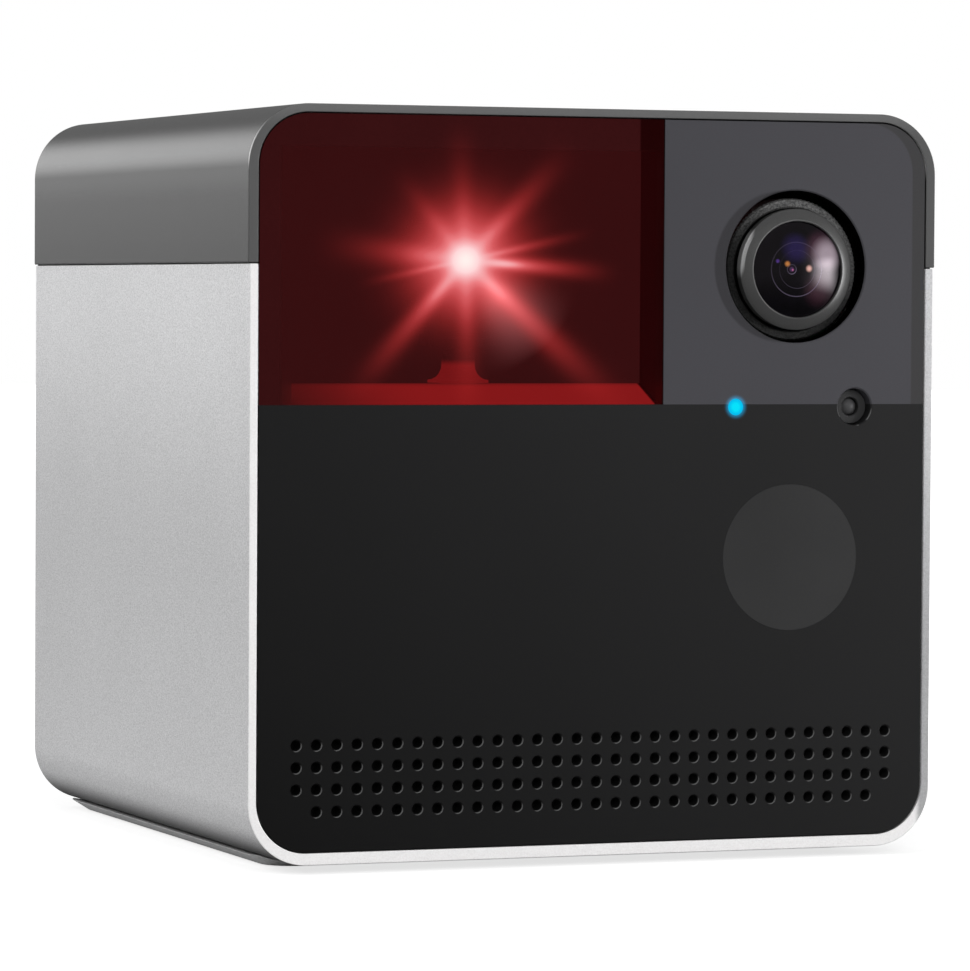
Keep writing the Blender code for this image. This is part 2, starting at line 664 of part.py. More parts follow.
def make_top_cover(rebates):
    outer = box_outline(-CAP_HALF, CAP_HALF, CAP_BOTTOM, CASE_TOP, 0, CAP_RADIUS)
    cover = prism("top_cover", outer, "Y", FRONT, BACK)
    lip_low = CAP_BOTTOM - LIP_DEPTH
    lip = prism("join_cap_lip", box_outline(-LIP_HALF, LIP_HALF, lip_low, CAP_CEILING), "Y", FRONT, BACK)
    inner = box_outline(-CAP_INNER_HALF, CAP_INNER_HALF, lip_low - OVERRUN, CAP_CEILING, 0, CAP_INNER_RADIUS)
    join(cover, lip)
    cut(cover, prism("cut_cap_hollow", inner, "Y", FRONT - OVERRUN, BACK + OVERRUN), *rebates)
    paint(cover, CAP_GREY)


def make_foot():
    hole = circle_outline((0, 0), NUT_NECK_RADIUS + GAP, MIDDLE_SIDES)
    top = CASE_BOTTOM + PAD_RECESS - GAP
    pad = prism("foot_pad", pad_outline(0), "Z", 0, top)
    cut(pad, prism("cut_pad_hole", hole, "Z", -OVERRUN, top + OVERRUN))
    paint(pad, RUBBER_GREY)
    profile = [
        (NUT_BORE_RADIUS, CASE_BOTTOM),
        (NUT_NECK_RADIUS, CASE_BOTTOM),
        (NUT_NECK_RADIUS, CORE_BOTTOM),
        (NUT_FLANGE_RADIUS, CORE_BOTTOM),
        (NUT_FLANGE_RADIUS, CORE_BOTTOM + NUT_FLANGE_THICKNESS),
        (NUT_BORE_RADIUS, CORE_BOTTOM + NUT_FLANGE_THICKNESS),
    ]
    paint(turned("tripod_nut", profile, "Z", (0, 0, 0), MIDDLE_SIDES), BRASS)


def grille_holes():
    """The centres of the speaker holes: full rows, and a lowest row without its two ends."""
    places = []
    for row in range(GRILLE_ROWS):
        last = row == GRILLE_ROWS - 1
        for column in range(last, GRILLE_COLUMNS - last):
            places.append((column * GRILLE_PITCH - GRILLE_SPAN, GRILLE_TOP - row * GRILLE_ROW_PITCH))
    return places


def through_hole(name, centre, radius, sides=ROUND_SIDES):
    """A cutter right through the front panel."""
    outline = circle_outline(centre, radius, sides)
    return prism("cut_" + name, outline, "Y", PANEL_FRONT - OVERRUN, PANEL_BACK + OVERRUN)


def board_bosses():
    """Posts on the back of the front panel that carry the front board."""
    right = LENS_X + FRONT_BOARD_RIGHT - BOSS_EDGE
    left = LENS_X - FRONT_BOARD_LEFT + BOSS_EDGE
    high = SPLIT + FRONT_BOARD_ABOVE_SPLIT - BOSS_DROP
    low = FRONT_BOARD_BOTTOM + BOSS_RADIUS
    return [(left, high), (right, high), (right, low)]


def make_front_panel():
    panel = prism("front_panel", face_outline(EDGE_GAP), "Y", PANEL_FRONT, PANEL_BACK)
    root = PANEL_BACK - PANEL_THICKNESS / 2
    for number, place in enumerate(board_bosses(), 1):
        outline = circle_outline(place, BOSS_RADIUS, SMALL_SIDES)
        join(panel, prism(f"join_board_boss_{number}", outline, "Y", root, ON_FRONT_BOARD))
    notch = box_outline(-CAP_HALF, WINDOW_RIGHT, SPLIT, CASE_TOP)
    bm = bmesh.new()
    for place in grille_holes():
        outline = circle_outline(place, GRILLE_HOLE_RADIUS, GRILLE_SIDES)
        add_prism(bm, outline, "Y", PANEL_FRONT - OVERRUN, PANEL_BACK + OVERRUN)
    cut(
        panel,
        prism("cut_window_notch", notch, "Y", PANEL_FRONT - OVERRUN, PANEL_BACK + OVERRUN),
        through_hole("lens_hole", (LENS_X, LENS_Z + LENS_HOLE_RISE), LENS_HOLE_RADIUS),
        through_hole("light_hole", (LIGHT_X, LIGHT_Z), LIGHT_RADIUS + EDGE_GAP, SMALL_SIDES),
        through_hole("sensor_hole", (SENSOR_X, LIGHT_Z), SENSOR_HOLE_RADIUS, SMALL_SIDES),
        through_hole("infrared_hole", (INFRARED_X, INFRARED_Z), INFRARED_RADIUS + EDGE_GAP),
        add_object("cut_grille_holes", bm, (0, 0, 0)),
    )
    paint(panel, PANEL_BLACK)


def window_outline(left, right, low, high, radius):
    """A rectangle whose only round corner is the upper left one."""
    return [(left, low), (right, low), (right, high)] + corner(left, high, radius, math.pi / 2, 1, -1)


def make_laser_window():
    left = RIM + EDGE_GAP - CASE_HALF
    high = CASE_TOP - RIM - EDGE_GAP
    radius = CASE_RADIUS - RIM - EDGE_GAP
    low = SPLIT + EDGE_GAP
    right = WINDOW_RIGHT - EDGE_GAP
    outline = window_outline(left, right, low, high, radius)
    paint(prism("laser_window", outline, "Y", PANEL_FRONT, PANEL_BACK), WINDOW_RED)


def make_chamber():
    left = -CORE_HALF
    flange_front = BEZEL_BACK - BEZEL_WALL
    body = window_outline(left, BEZEL_RIGHT + BEZEL_WALL, BEZEL_BOTTOM, CORE_TOP, CORE_RADIUS)
    bezel = prism("window_bezel", body, "Y", BEHIND_PANEL, BEZEL_BACK)
    flange = window_outline(left, HOUSING_RIGHT, BEZEL_BOTTOM, CORE_TOP, CORE_RADIUS)
    join(bezel, prism("join_bezel_flange", flange, "Y", flange_front, BEZEL_BACK))
    slope = BEZEL_FLOOR_RISE / BEZEL_DEPTH
    ceiling = CORE_TOP - BEZEL_EDGE
    opening = [
        (BEHIND_PANEL - OVERRUN, SPLIT - slope * OVERRUN),
        (BEZEL_BACK + OVERRUN, SPLIT + BEZEL_FLOOR_RISE + slope * OVERRUN),
        (BEZEL_BACK + OVERRUN, ceiling),
        (BEHIND_PANEL - OVERRUN, ceiling),
    ]
    cut(bezel, prism("cut_bezel_opening", opening, "X", left + BEZEL_EDGE, BEZEL_RIGHT))
    paint(bezel, RED_PLASTIC)
    make_laser_housing(left)


def make_laser_housing(left):
    outer = window_outline(left, HOUSING_RIGHT, HOUSING_BOTTOM, CORE_TOP, CORE_RADIUS)
    housing = prism("laser_housing", outer, "Y", HOUSING_FRONT, HOUSING_BACK)
    wall = HOUSING_WALL
    right = HOUSING_RIGHT - wall
    inner = window_outline(left + wall, right, CHAMBER_FLOOR, CORE_TOP - wall, CORE_RADIUS - wall)
    hollow = prism("cut_housing_hollow", inner, "Y", HOUSING_FRONT - OVERRUN, HOUSING_BACK - wall)
    spigot = circle_outline((PAN_X, PAN_Y), SPIGOT_RADIUS + GAP, SMALL_SIDES)
    hole = prism("cut_spigot_hole", spigot, "Z", HOUSING_BOTTOM - OVERRUN, CHAMBER_FLOOR + OVERRUN)
    cut(housing, hollow, hole)
    paint(housing, RED_PLASTIC)


def make_pedestal():
    """The turret's fixed foot, flared where it stands on the chamber's floor, and its bush."""
    foot = CHAMBER_FLOOR + GAP
    flare_low = foot + FLARE_EDGE
    spread = FLARE_RADIUS - STEM_RADIUS
    flare = []
    for step in range(FLARE_STEPS + 1):
        angle = math.pi / 2 * step / FLARE_STEPS
        height = flare_low + FLARE_HEIGHT * (1 - math.cos(angle))
        flare.append((FLARE_RADIUS - spread * math.sin(angle), height))
    profile = [
        (STEM_BORE_RADIUS, HOUSING_BOTTOM),
        (SPIGOT_RADIUS, HOUSING_BOTTOM),
        (SPIGOT_RADIUS, foot),
        (FLARE_RADIUS, foot),
        *flare,
        (STEM_RADIUS, STEM_TOP),
        (STEM_BORE_RADIUS, STEM_TOP),
    ]
    paint(turned("pan_pedestal", profile, "Z", (PAN_X, PAN_Y, 0), MIDDLE_SIDES), RED_PLASTIC)
    flange = STEM_TOP + GAP
    bush = [
        (BUSH_BORE_RADIUS, HOUSING_BOTTOM),
        (BUSH_RADIUS, HOUSING_BOTTOM),
        (BUSH_RADIUS, flange),
        (BUSH_FLANGE_RADIUS, flange),
        (BUSH_FLANGE_RADIUS, flange + BUSH_FLANGE_THICKNESS),
        (BUSH_BORE_RADIUS, flange + BUSH_FLANGE_THICKNESS),
    ]
    paint(turned("pan_bush", bush, "Z", (PAN_X, PAN_Y, 0), SMALL_SIDES), BRASS)


def arm_outline():
    """A yoke arm seen from its side, with a round top on the tilt axis, from the yoke's underside."""
    half = YOKE_ARM_HALF_DEPTH
    return [(-half, 0), (half, 0)] + arc((0, TILT_Z - YOKE_BOTTOM), half, 0, math.pi)


def make_yoke(pan_axis):
    origin = (PAN_X, PAN_Y, YOKE_BOTTOM)
    base = circle_outline((0, 0), YOKE_BASE_RADIUS, MIDDLE_SIDES)
    yoke = prism("pan_yoke", base, "Z", 0, YOKE_BASE_THICKNESS, origin)
    for side, name in ((-1, "left"), (1, "right")):
        arm = prism(f"join_arm_{name}", arm_outline(), "X", side * YOKE_INNER, side * YOKE_OUTER, origin)
        join(yoke, arm)
    reach = YOKE_OUTER + OVERRUN
    trunnion = circle_outline((0, 0), TRUNNION_HOLE_RADIUS, SMALL_SIDES)
    motor_shaft = circle_outline((0, 0), TILT_SHAFT_RADIUS + GAP, SMALL_SIDES)
    bore = circle_outline((0, 0), SHAFT_HOLE_RADIUS, SMALL_SIDES)
    cut(
        yoke,
        prism("cut_trunnion_holes", trunnion, "X", -reach, reach, (PAN_X, PAN_Y, TILT_Z)),
        prism("cut_tilt_shaft_hole", motor_shaft, "X", -reach, 0, (PAN_X, PAN_Y, TILT_MOTOR_Z)),
        prism("cut_yoke_bore", bore, "Z", -OVERRUN, YOKE_BASE_THICKNESS + OVERRUN, origin),
    )
    paint(yoke, DARK_PLASTIC)
    shaft_top = YOKE_BOTTOM + YOKE_BASE_THICKNESS
    shaft = circle_outline((0, 0), SHAFT_RADIUS, SMALL_SIDES)
    rod = prism("pan_shaft", shaft, "Z", BRACKET_BOTTOM, shaft_top, (PAN_X, PAN_Y, 0))
    paint(rod, STEEL)
    motor = circle_outline((0, 0), TILT_MOTOR_RADIUS, SMALL_SIDES)
    place = (PAN_X, PAN_Y, TILT_MOTOR_Z)
    tilt_motor = prism("tilt_motor", motor, "X", -TILT_MOTOR_HALF, TILT_MOTOR_HALF, place)
    seat_end = TILT_SHAFT_SEAT + GAP - TILT_MOTOR_HALF
    cut(tilt_motor, prism("cut_tilt_motor_seat", motor_shaft, "X", -reach, seat_end, place))
    paint(tilt_motor, STEEL)
    carry(pan_axis, yoke, rod, tilt_motor)


def make_gear(name, teeth, module, turn, axis, start, end, bore, origin, finish):
    gear = prism(name, gear_outline(teeth, module, turn), axis, start, end, origin)
    if bore:
        hole = circle_outline((0, 0), bore, SMALL_SIDES)
        cut(gear, prism("cut_bore_" + name, hole, axis, start - OVERRUN, end + OVERRUN, origin))
    return paint(gear, finish)


def make_pan_drive(pan_axis):
    gear = make_gear(
        "pan_gear", PAN_GEAR_TEETH, PAN_MODULE, 0, "Z",
        PAN_GEAR_BOTTOM, PAN_GEAR_TOP, SHAFT_HOLE_RADIUS, (PAN_X, PAN_Y, 0), CLEAR_PLASTIC,
    )
    carry(pan_axis, gear)
    pinion_axis = add_axis("pinion_axis", (PINION_X, PAN_Y, PAN_GEAR_BOTTOM))
    facing = math.pi + math.pi / PAN_PINION_TEETH
    pinion = make_gear(
        "pan_pinion", PAN_PINION_TEETH, PAN_MODULE, facing, "Z",
        PAN_GEAR_BOTTOM, PAN_GEAR_TOP, 0, (PINION_X, PAN_Y, 0), BRASS,
    )
    shaft = circle_outline((0, 0), SHAFT_RADIUS, SMALL_SIDES)
    shaft_low = PAN_MOTOR_TOP - MOTOR_SEAT
    shaft_top = PAN_GEAR_TOP - PAN_GEAR_THICKNESS / 2
    join(pinion, prism("join_pinion_shaft", shaft, "Z", shaft_low, shaft_top, (PINION_X, PAN_Y, 0)))
    carry(pinion_axis, pinion)
    motor = circle_outline((0, 0), PAN_MOTOR_RADIUS, MIDDLE_SIDES)
    origin = (PINION_X, PAN_Y, PAN_MOTOR_TOP)
    body = prism("pan_motor", motor, "Z", -PAN_MOTOR_HEIGHT, 0, origin)
    seat = circle_outline((0, 0), SHAFT_HOLE_RADIUS, SMALL_SIDES)
    cut(body, prism("cut_pan_motor_seat", seat, "Z", -MOTOR_SEAT - GAP, OVERRUN, origin))
    paint(body, STEEL)
    make_bracket()


def make_bracket():
    left = PAN_X - PAN_MODULE * PAN_GEAR_TEETH / 2 - BRACKET_MARGIN
    right = PINION_X + BRACKET_END_MARGIN
    low = HOUSING_FRONT
    high = low + BRACKET_LENGTH
    plate = box_outline(left, right, low, high, POST_INSET)
    bracket = prism("motor_bracket", plate, "Z", BRACKET_BOTTOM, BRACKET_TOP)
    middle = (BRACKET_BOTTOM + BRACKET_TOP) / 2
    for across, x in (("left", left + POST_INSET), ("right", right - POST_INSET)):
        for along, y in (("front", low + POST_INSET), ("back", high - POST_INSET)):
            post = circle_outline((x, y), POST_RADIUS, SMALL_SIDES)
            join(bracket, prism(f"join_post_{across}_{along}", post, "Z", middle, HOUSING_BOTTOM - GAP))
    for name, x in (("pan_shaft", PAN_X), ("pinion_shaft", PINION_X)):
        hole = circle_outline((x, PAN_Y), SHAFT_HOLE_RADIUS, SMALL_SIDES)
        start = BRACKET_BOTTOM - OVERRUN
        cut(bracket, prism("cut_bracket_" + name, hole, "Z", start, BRACKET_TOP + OVERRUN))
    paint(bracket, DARK_PLASTIC)


def make_laser(tilt_axis):
    origin = (PAN_X, PAN_Y, TILT_Z)
    bore = LASER_RADIUS - LASER_WALL
    inner_end = LASER_TAIL - LASER_END_WALL
    profile = [
        (LASER_WIRE_RADIUS, LASER_TAIL),
        (LASER_RADIUS, LASER_TAIL),
        (LASER_RADIUS, -LASER_NOSE),
        (bore, -LASER_NOSE),
        (bore, inner_end),
        (LASER_WIRE_RADIUS, inner_end),
    ]
    barrel = turned("laser_barrel", profile, "Y", origin, MIDDLE_SIDES)
    pin = circle_outline((0, 0), TRUNNION_RADIUS, SMALL_SIDES)
    root = LASER_RADIUS - TRUNNION_ROOT
    join(
        barrel,
        prism("join_right_trunnion", pin, "X", root, YOKE_OUTER + GAP, origin),
        prism("join_left_trunnion", pin, "X", -root, TILT_GEAR_SIDE - TILT_GEAR_THICKNESS, origin),
    )
    paint(barrel, BLACK_METAL)
    fit = bore - GAP
    lens_front = LASER_LENS_INSET - LASER_NOSE
    lens = [
        (0, lens_front),
        (fit / 2, lens_front + LASER_LENS_BULGE / 4),
        (fit, lens_front + LASER_LENS_BULGE),
        (fit, lens_front + LASER_LENS_THICKNESS),
        (0, lens_front + LASER_LENS_THICKNESS),
    ]
    laser_lens = paint(turned("laser_lens", lens, "Y", origin, SMALL_SIDES), GLASS)
    can = circle_outline((0, 0), fit, SMALL_SIDES)
    can_back = inner_end - GAP
    diode = paint(prism("laser_diode", can, "Y", can_back - DIODE_LENGTH, can_back, origin), BRASS)
    gear = make_gear(
        "tilt_gear", TILT_GEAR_TEETH, TILT_MODULE, math.pi / 2, "X",
        TILT_GEAR_SIDE - TILT_GEAR_THICKNESS, TILT_GEAR_SIDE, TRUNNION_HOLE_RADIUS, origin, CLEAR_PLASTIC,
    )
    carry(tilt_axis, barrel, laser_lens, diode, gear)


def make_tilt_pinion(pan_axis):
    place = (PAN_X, PAN_Y, TILT_MOTOR_Z)
    axis = add_axis("tilt_pinion_axis", place, pan_axis)
    facing = math.pi / 2 + math.pi / TILT_PINION_TEETH
    pinion = make_gear(
        "tilt_pinion", TILT_PINION_TEETH, TILT_MODULE, facing, "X",
        TILT_GEAR_SIDE - TILT_GEAR_THICKNESS, TILT_GEAR_SIDE, 0, place, BRASS,
    )
    shaft = circle_outline((0, 0), TILT_SHAFT_RADIUS, SMALL_SIDES)
    root = TILT_GEAR_SIDE - TILT_GEAR_THICKNESS / 2
    join(pinion, prism("join_tilt_shaft", shaft, "X", root, TILT_SHAFT_SEAT - TILT_MOTOR_HALF, place))
    carry(axis, pinion)


def make_lens():
    origin = (LENS_X, 0, LENS_Z)
    tip = FRONT - GLASS_PROUD
    edge = FRONT - GLASS_EDGE_PROUD
    dome = []
    for step in range(GLASS_STEPS + 1):
        angle = math.pi / 2 * step / GLASS_STEPS
        dome.append((GLASS_RADIUS * math.sin(angle), edge - (edge - tip) * math.cos(angle)))
    back = edge + GLASS_THICKNESS
    paint(turned("lens_glass", [*dome, (GLASS_RADIUS, back), (0, back)], "Y", origin), GLASS)
    inner = GLASS_RADIUS + LENS_RING_CLEARANCE
    ring_front = FRONT - LENS_RING_PROUD
    shoulder = ring_front + LENS_RING_CHAMFER
    ring = [
        (inner, shoulder),
        (inner + LENS_RING_CHAMFER, ring_front),
        (LENS_RING_RADIUS - LENS_RING_CHAMFER, ring_front),
        (LENS_RING_RADIUS, shoulder),
        (LENS_RING_RADIUS, RING_BACK),
        (inner, RING_BACK),
    ]
    paint(turned("lens_ring", ring, "Y", origin), LENS_METAL)
    barrel = [
        (BARREL_BORE_RADIUS, BARREL_FRONT),
        (BARREL_HEAD_RADIUS, BARREL_FRONT),
        (BARREL_HEAD_RADIUS, THREAD_FRONT),
        (BARREL_THREAD_RADIUS, THREAD_FRONT),
        (BARREL_THREAD_RADIUS, BARREL_BACK),
        (BARREL_BORE_RADIUS, BARREL_BACK),
    ]
    paint(turned("lens_barrel", barrel, "Y", origin, MIDDLE_SIDES), BLACK_METAL)
    near = BARREL_HEAD_RADIUS + GAP
    far = near + FOCUS_RING_THICKNESS
    focus_front = FRONT + FOCUS_RING_DEPTH
    focus_back = focus_front + FOCUS_RING_LENGTH
    focus = [(near, focus_front), (far, focus_front), (far, focus_back), (near, focus_back)]
    paint(turned("focus_ring", focus, "Y", origin), BLACK_METAL)


def make_camera_module():
    origin = (LENS_X, 0, LENS_Z)
    base = box_outline(-HOLDER_HALF_WIDTH, HOLDER_HALF_WIDTH, -HOLDER_HALF_HEIGHT, HOLDER_HALF_HEIGHT)
    holder = prism("lens_holder", base, "Y", HOLDER_BASE_FRONT, HOLDER_BACK, origin)
    web_back = HOLDER_BASE_FRONT + HOLDER_WEB
    tube = circle_outline((0, 0), HOLDER_BORE_RADIUS + HOLDER_TUBE_WALL, MIDDLE_SIDES)
    bore = circle_outline((0, 0), HOLDER_BORE_RADIUS, MIDDLE_SIDES)
    aperture = circle_outline((0, 0), HOLDER_APERTURE_RADIUS, MIDDLE_SIDES)
    half = FILTER_HALF_WIDTH + FILTER_TRAVEL / 2 + GAP
    height = FILTER_HALF_HEIGHT + FILTER_CLEARANCE
    well = box_outline(-half, half, -height, height)
    join(holder, prism("join_holder_tube", tube, "Y", HOLDER_TUBE_FRONT, web_back, origin))
    web_front = HOLDER_BASE_FRONT - OVERRUN
    cut(
        holder,
        prism("cut_holder_bore", bore, "Y", HOLDER_TUBE_FRONT - OVERRUN, HOLDER_BASE_FRONT, origin),
        prism("cut_holder_aperture", aperture, "Y", web_front, web_back + OVERRUN, origin),
        prism("cut_filter_well", well, "Y", web_back, HOLDER_BACK + OVERRUN, origin),
    )
    paint(holder, DARK_PLASTIC)
    filter_axis = (LENS_X - FILTER_TRAVEL / 2, 0, LENS_Z)
    plate = box_outline(-FILTER_HALF_WIDTH, FILTER_HALF_WIDTH, -FILTER_HALF_HEIGHT, FILTER_HALF_HEIGHT)
    plate_front = web_back + FILTER_CLEARANCE
    slider = prism("ir_cut_filter", plate, "Y", plate_front, plate_front + FILTER_THICKNESS, filter_axis)
    paint(slider, GLASS)
    chip_half = SENSOR_CHIP_HALF_WIDTH
    chip = box_outline(-chip_half, chip_half, -SENSOR_CHIP_HALF_HEIGHT, SENSOR_CHIP_HALF_HEIGHT)
    chip_front = HOLDER_BACK - SENSOR_CHIP_THICKNESS
    paint(prism("image_sensor", chip, "Y", chip_front, HOLDER_BACK, origin), CHIP_BLACK)
    left = LENS_X - HOLDER_HALF_WIDTH
    low = LENS_Z - CAMERA_BOARD_HALF_HEIGHT
    board = box_outline(left, CORE_HALF - GAP, low, LENS_Z + CAMERA_BOARD_HALF_HEIGHT)
    paint(prism("camera_board", board, "Y", CAMERA_BOARD_FRONT, CAMERA_BOARD_BACK), BOARD_GREEN)


def dome_profile(radius, rise, tip, back):
    """A rod with a domed front, from the dome's tip to its flat back."""
    points = []
    for step in range(DOME_STEPS + 1):
        angle = math.pi / 2 * step / DOME_STEPS
        points.append((radius * math.sin(angle), tip + rise * (1 - math.cos(angle))))
    return [*points, (radius, back), (0, back)]


def make_front_parts():
    """The front board and what stands on it behind the panel's small holes."""
    pipe = circle_outline((LIGHT_X, LIGHT_Z), LIGHT_RADIUS, SMALL_SIDES)
    paint(prism("status_light_pipe", pipe, "Y", PANEL_FRONT, LIGHT_BACK), LIGHT_BLUE)
    lamp = box_outline(LIGHT_X - LED_HALF, LIGHT_X + LED_HALF, LIGHT_Z - LED_HALF, LIGHT_Z + LED_HALF)
    paint(prism("status_led", lamp, "Y", ON_FRONT_BOARD - LED_THICKNESS, ON_FRONT_BOARD), CLEAR_PLASTIC)
    cup_front = PANEL_FRONT + SENSOR_DEPTH
    cup_bore = DOME_RADIUS + GAP
    cup_radius = SENSOR_HOLE_RADIUS - CUP_CLEARANCE
    cup = [
        (cup_bore, cup_front),
        (cup_radius, cup_front),
        (cup_radius, BEHIND_PANEL),
        (CUP_FLANGE_RADIUS, BEHIND_PANEL),
        (CUP_FLANGE_RADIUS, BEHIND_PANEL + CUP_FLANGE_THICKNESS),
        (cup_radius, BEHIND_PANEL + CUP_FLANGE_THICKNESS),
        (cup_radius, cup_front + CUP_LENGTH),
        (cup_bore, cup_front + CUP_LENGTH),
    ]
    paint(turned("sensor_cup", cup, "Y", (SENSOR_X, 0, LIGHT_Z), SMALL_SIDES), DARK_PLASTIC)
    dome = dome_profile(DOME_RADIUS, DOME_RISE, cup_front - DOME_RISE, ON_FRONT_BOARD)
    paint(turned("light_sensor", dome, "Y", (SENSOR_X, 0, LIGHT_Z), SMALL_SIDES), CHIP_BLACK)
    x = LENS_X + MICROPHONE_FROM_LENS
    z = SPLIT - MICROPHONE_DROP
    can = box_outline(
        x - MICROPHONE_HALF_WIDTH,
        x + MICROPHONE_HALF_WIDTH,
        z - MICROPHONE_HALF_HEIGHT,
        z + MICROPHONE_HALF_HEIGHT,
    )
    paint(prism("microphone", can, "Y", ON_FRONT_BOARD - MICROPHONE_THICKNESS, ON_FRONT_BOARD), STEEL)
    disc = circle_outline((INFRARED_X, INFRARED_Z), INFRARED_RADIUS)
    paint(prism("ir_window", disc, "Y", PANEL_FRONT, PANEL_FRONT + INFRARED_THICKNESS), INFRARED_BLACK)
    for number in range(INFRARED_LAMPS):
        angle = math.pi / 2 + 2 * math.pi * number / INFRARED_LAMPS
        place = (INFRARED_X + LAMP_SPREAD * math.cos(angle), 0, INFRARED_Z + LAMP_SPREAD * math.sin(angle))
        profile = dome_profile(LAMP_RADIUS, LAMP_RADIUS, ON_FRONT_BOARD - LAMP_LENGTH, ON_FRONT_BOARD)
        paint(turned(f"ir_led_{number + 1}", profile, "Y", place, SMALL_SIDES), CLEAR_PLASTIC)
    board = box_outline(
        LENS_X - FRONT_BOARD_LEFT,
        LENS_X + FRONT_BOARD_RIGHT,
        FRONT_BOARD_BOTTOM,
        SPLIT + FRONT_BOARD_ABOVE_SPLIT,
    )
    paint(prism("front_board", board, "Y", FRONT_BOARD_FRONT, FRONT_BOARD_BACK), BOARD_GREEN)


def make_speaker():
    half = GRILLE_SPAN + CLOTH_MARGIN
    sheet = box_outline(-half, half, GRILLE_BOTTOM - CLOTH_MARGIN, GRILLE_TOP + CLOTH_MARGIN)
    paint(prism("grille_cloth", sheet, "Y", BEHIND_PANEL, BEHIND_PANEL + CLOTH_THICKNESS), CLOTH_BLACK)
    origin = (SPEAKER_X, 0, SPEAKER_Z)
    basket = [
        (SPEAKER_FLANGE_INNER, SPEAKER_FRONT),
        (SPEAKER_RADIUS, SPEAKER_FRONT),
        (SPEAKER_RADIUS, BASKET_FRONT),
        (BASKET_RADIUS, BASKET_FRONT),
        (BASKET_FLOOR_RADIUS, BASKET_BACK),
        (BASKET_HOLE_RADIUS, BASKET_BACK),
        (BASKET_HOLE_RADIUS, BASKET_BACK - BASKET_WALL),
        (BASKET_FLOOR_RADIUS - BASKET_WALL, BASKET_BACK - BASKET_WALL),
        (SPEAKER_FLANGE_INNER, BASKET_FRONT),
    ]
    paint(turned("speaker_frame", basket, "Y", origin, MIDDLE_SIDES), STEEL)
    rim = SPEAKER_FRONT + CONE_SETBACK
    throat = rim + CONE_DEPTH
    tip = throat - DUST_CAP_RISE
    coil_inner = COIL_RADIUS - COIL_WALL
    cone = [
        (0, tip),
        (coil_inner / 2, tip + DUST_CAP_RISE / 4),
        (COIL_RADIUS, throat),
        (CONE_RADIUS, rim),
        (CONE_RADIUS, rim + CONE_THICKNESS),
        (COIL_RADIUS, throat + 2 * CONE_THICKNESS),
        (COIL_RADIUS, throat + CONE_THICKNESS + COIL_LENGTH),
        (coil_inner, throat + CONE_THICKNESS + COIL_LENGTH),
        (coil_inner, throat + CONE_THICKNESS),
        (0, tip + CONE_THICKNESS),
    ]
    paint(turned("speaker_cone", cone, "Y", origin, MIDDLE_SIDES), PAPER)
    magnet_front = BASKET_BACK + GAP
    groove_back = magnet_front + MAGNET_GROOVE_DEPTH
    groove_inner = coil_inner - CONE_CLEARANCE
    groove_outer = COIL_RADIUS + CONE_CLEARANCE
    magnet = [
        (0, magnet_front),
        (groove_inner, magnet_front),
        (groove_inner, groove_back),
        (groove_outer, groove_back),
        (groove_outer, magnet_front),
        (MAGNET_RADIUS, magnet_front),
        (MAGNET_RADIUS, magnet_front + MAGNET_LENGTH),
        (0, magnet_front + MAGNET_LENGTH),
    ]
    paint(turned("speaker_magnet", magnet, "Y", origin, MIDDLE_SIDES), STEEL)
    make_speaker_box()


def make_speaker_box():
    outer = box_outline(SPEAKER_BOX_LEFT, SPEAKER_BOX_RIGHT, CORE_BOTTOM, SPEAKER_BOX_TOP)
    box = prism("speaker_box", outer, "Y", SPEAKER_BOX_FRONT, SPEAKER_BOX_BACK)
    wall = SPEAKER_BOX_WALL
    inner = box_outline(
        SPEAKER_BOX_LEFT + wall, SPEAKER_BOX_RIGHT - wall, CORE_BOTTOM + wall, SPEAKER_BOX_TOP - wall
    )
    mouth = circle_outline((SPEAKER_X, SPEAKER_Z), BASKET_RADIUS + GAP, MIDDLE_SIDES)
    cut(
        box,
        prism("cut_box_hollow", inner, "Y", SPEAKER_BOX_FRONT + wall, SPEAKER_BOX_BACK - wall),
        prism("cut_box_mouth", mouth, "Y", SPEAKER_BOX_FRONT - OVERRUN, SPEAKER_BOX_FRONT + wall + OVERRUN),
    )
    paint(box, DARK_PLASTIC)


def screw_places():
    return [(-POST_X, POST_LOW), (POST_X, POST_LOW), (POST_X, POST_HIGH), (-POST_X, POST_HIGH)]


def main_board_places():
    half = MAIN_BOARD_HALF - STANDOFF_INSET
    low = MAIN_BOARD_LOW + STANDOFF_INSET
    high = MAIN_BOARD_HIGH - STANDOFF_INSET
    return [(-half, low), (half, low), (half, high), (-half, high)]


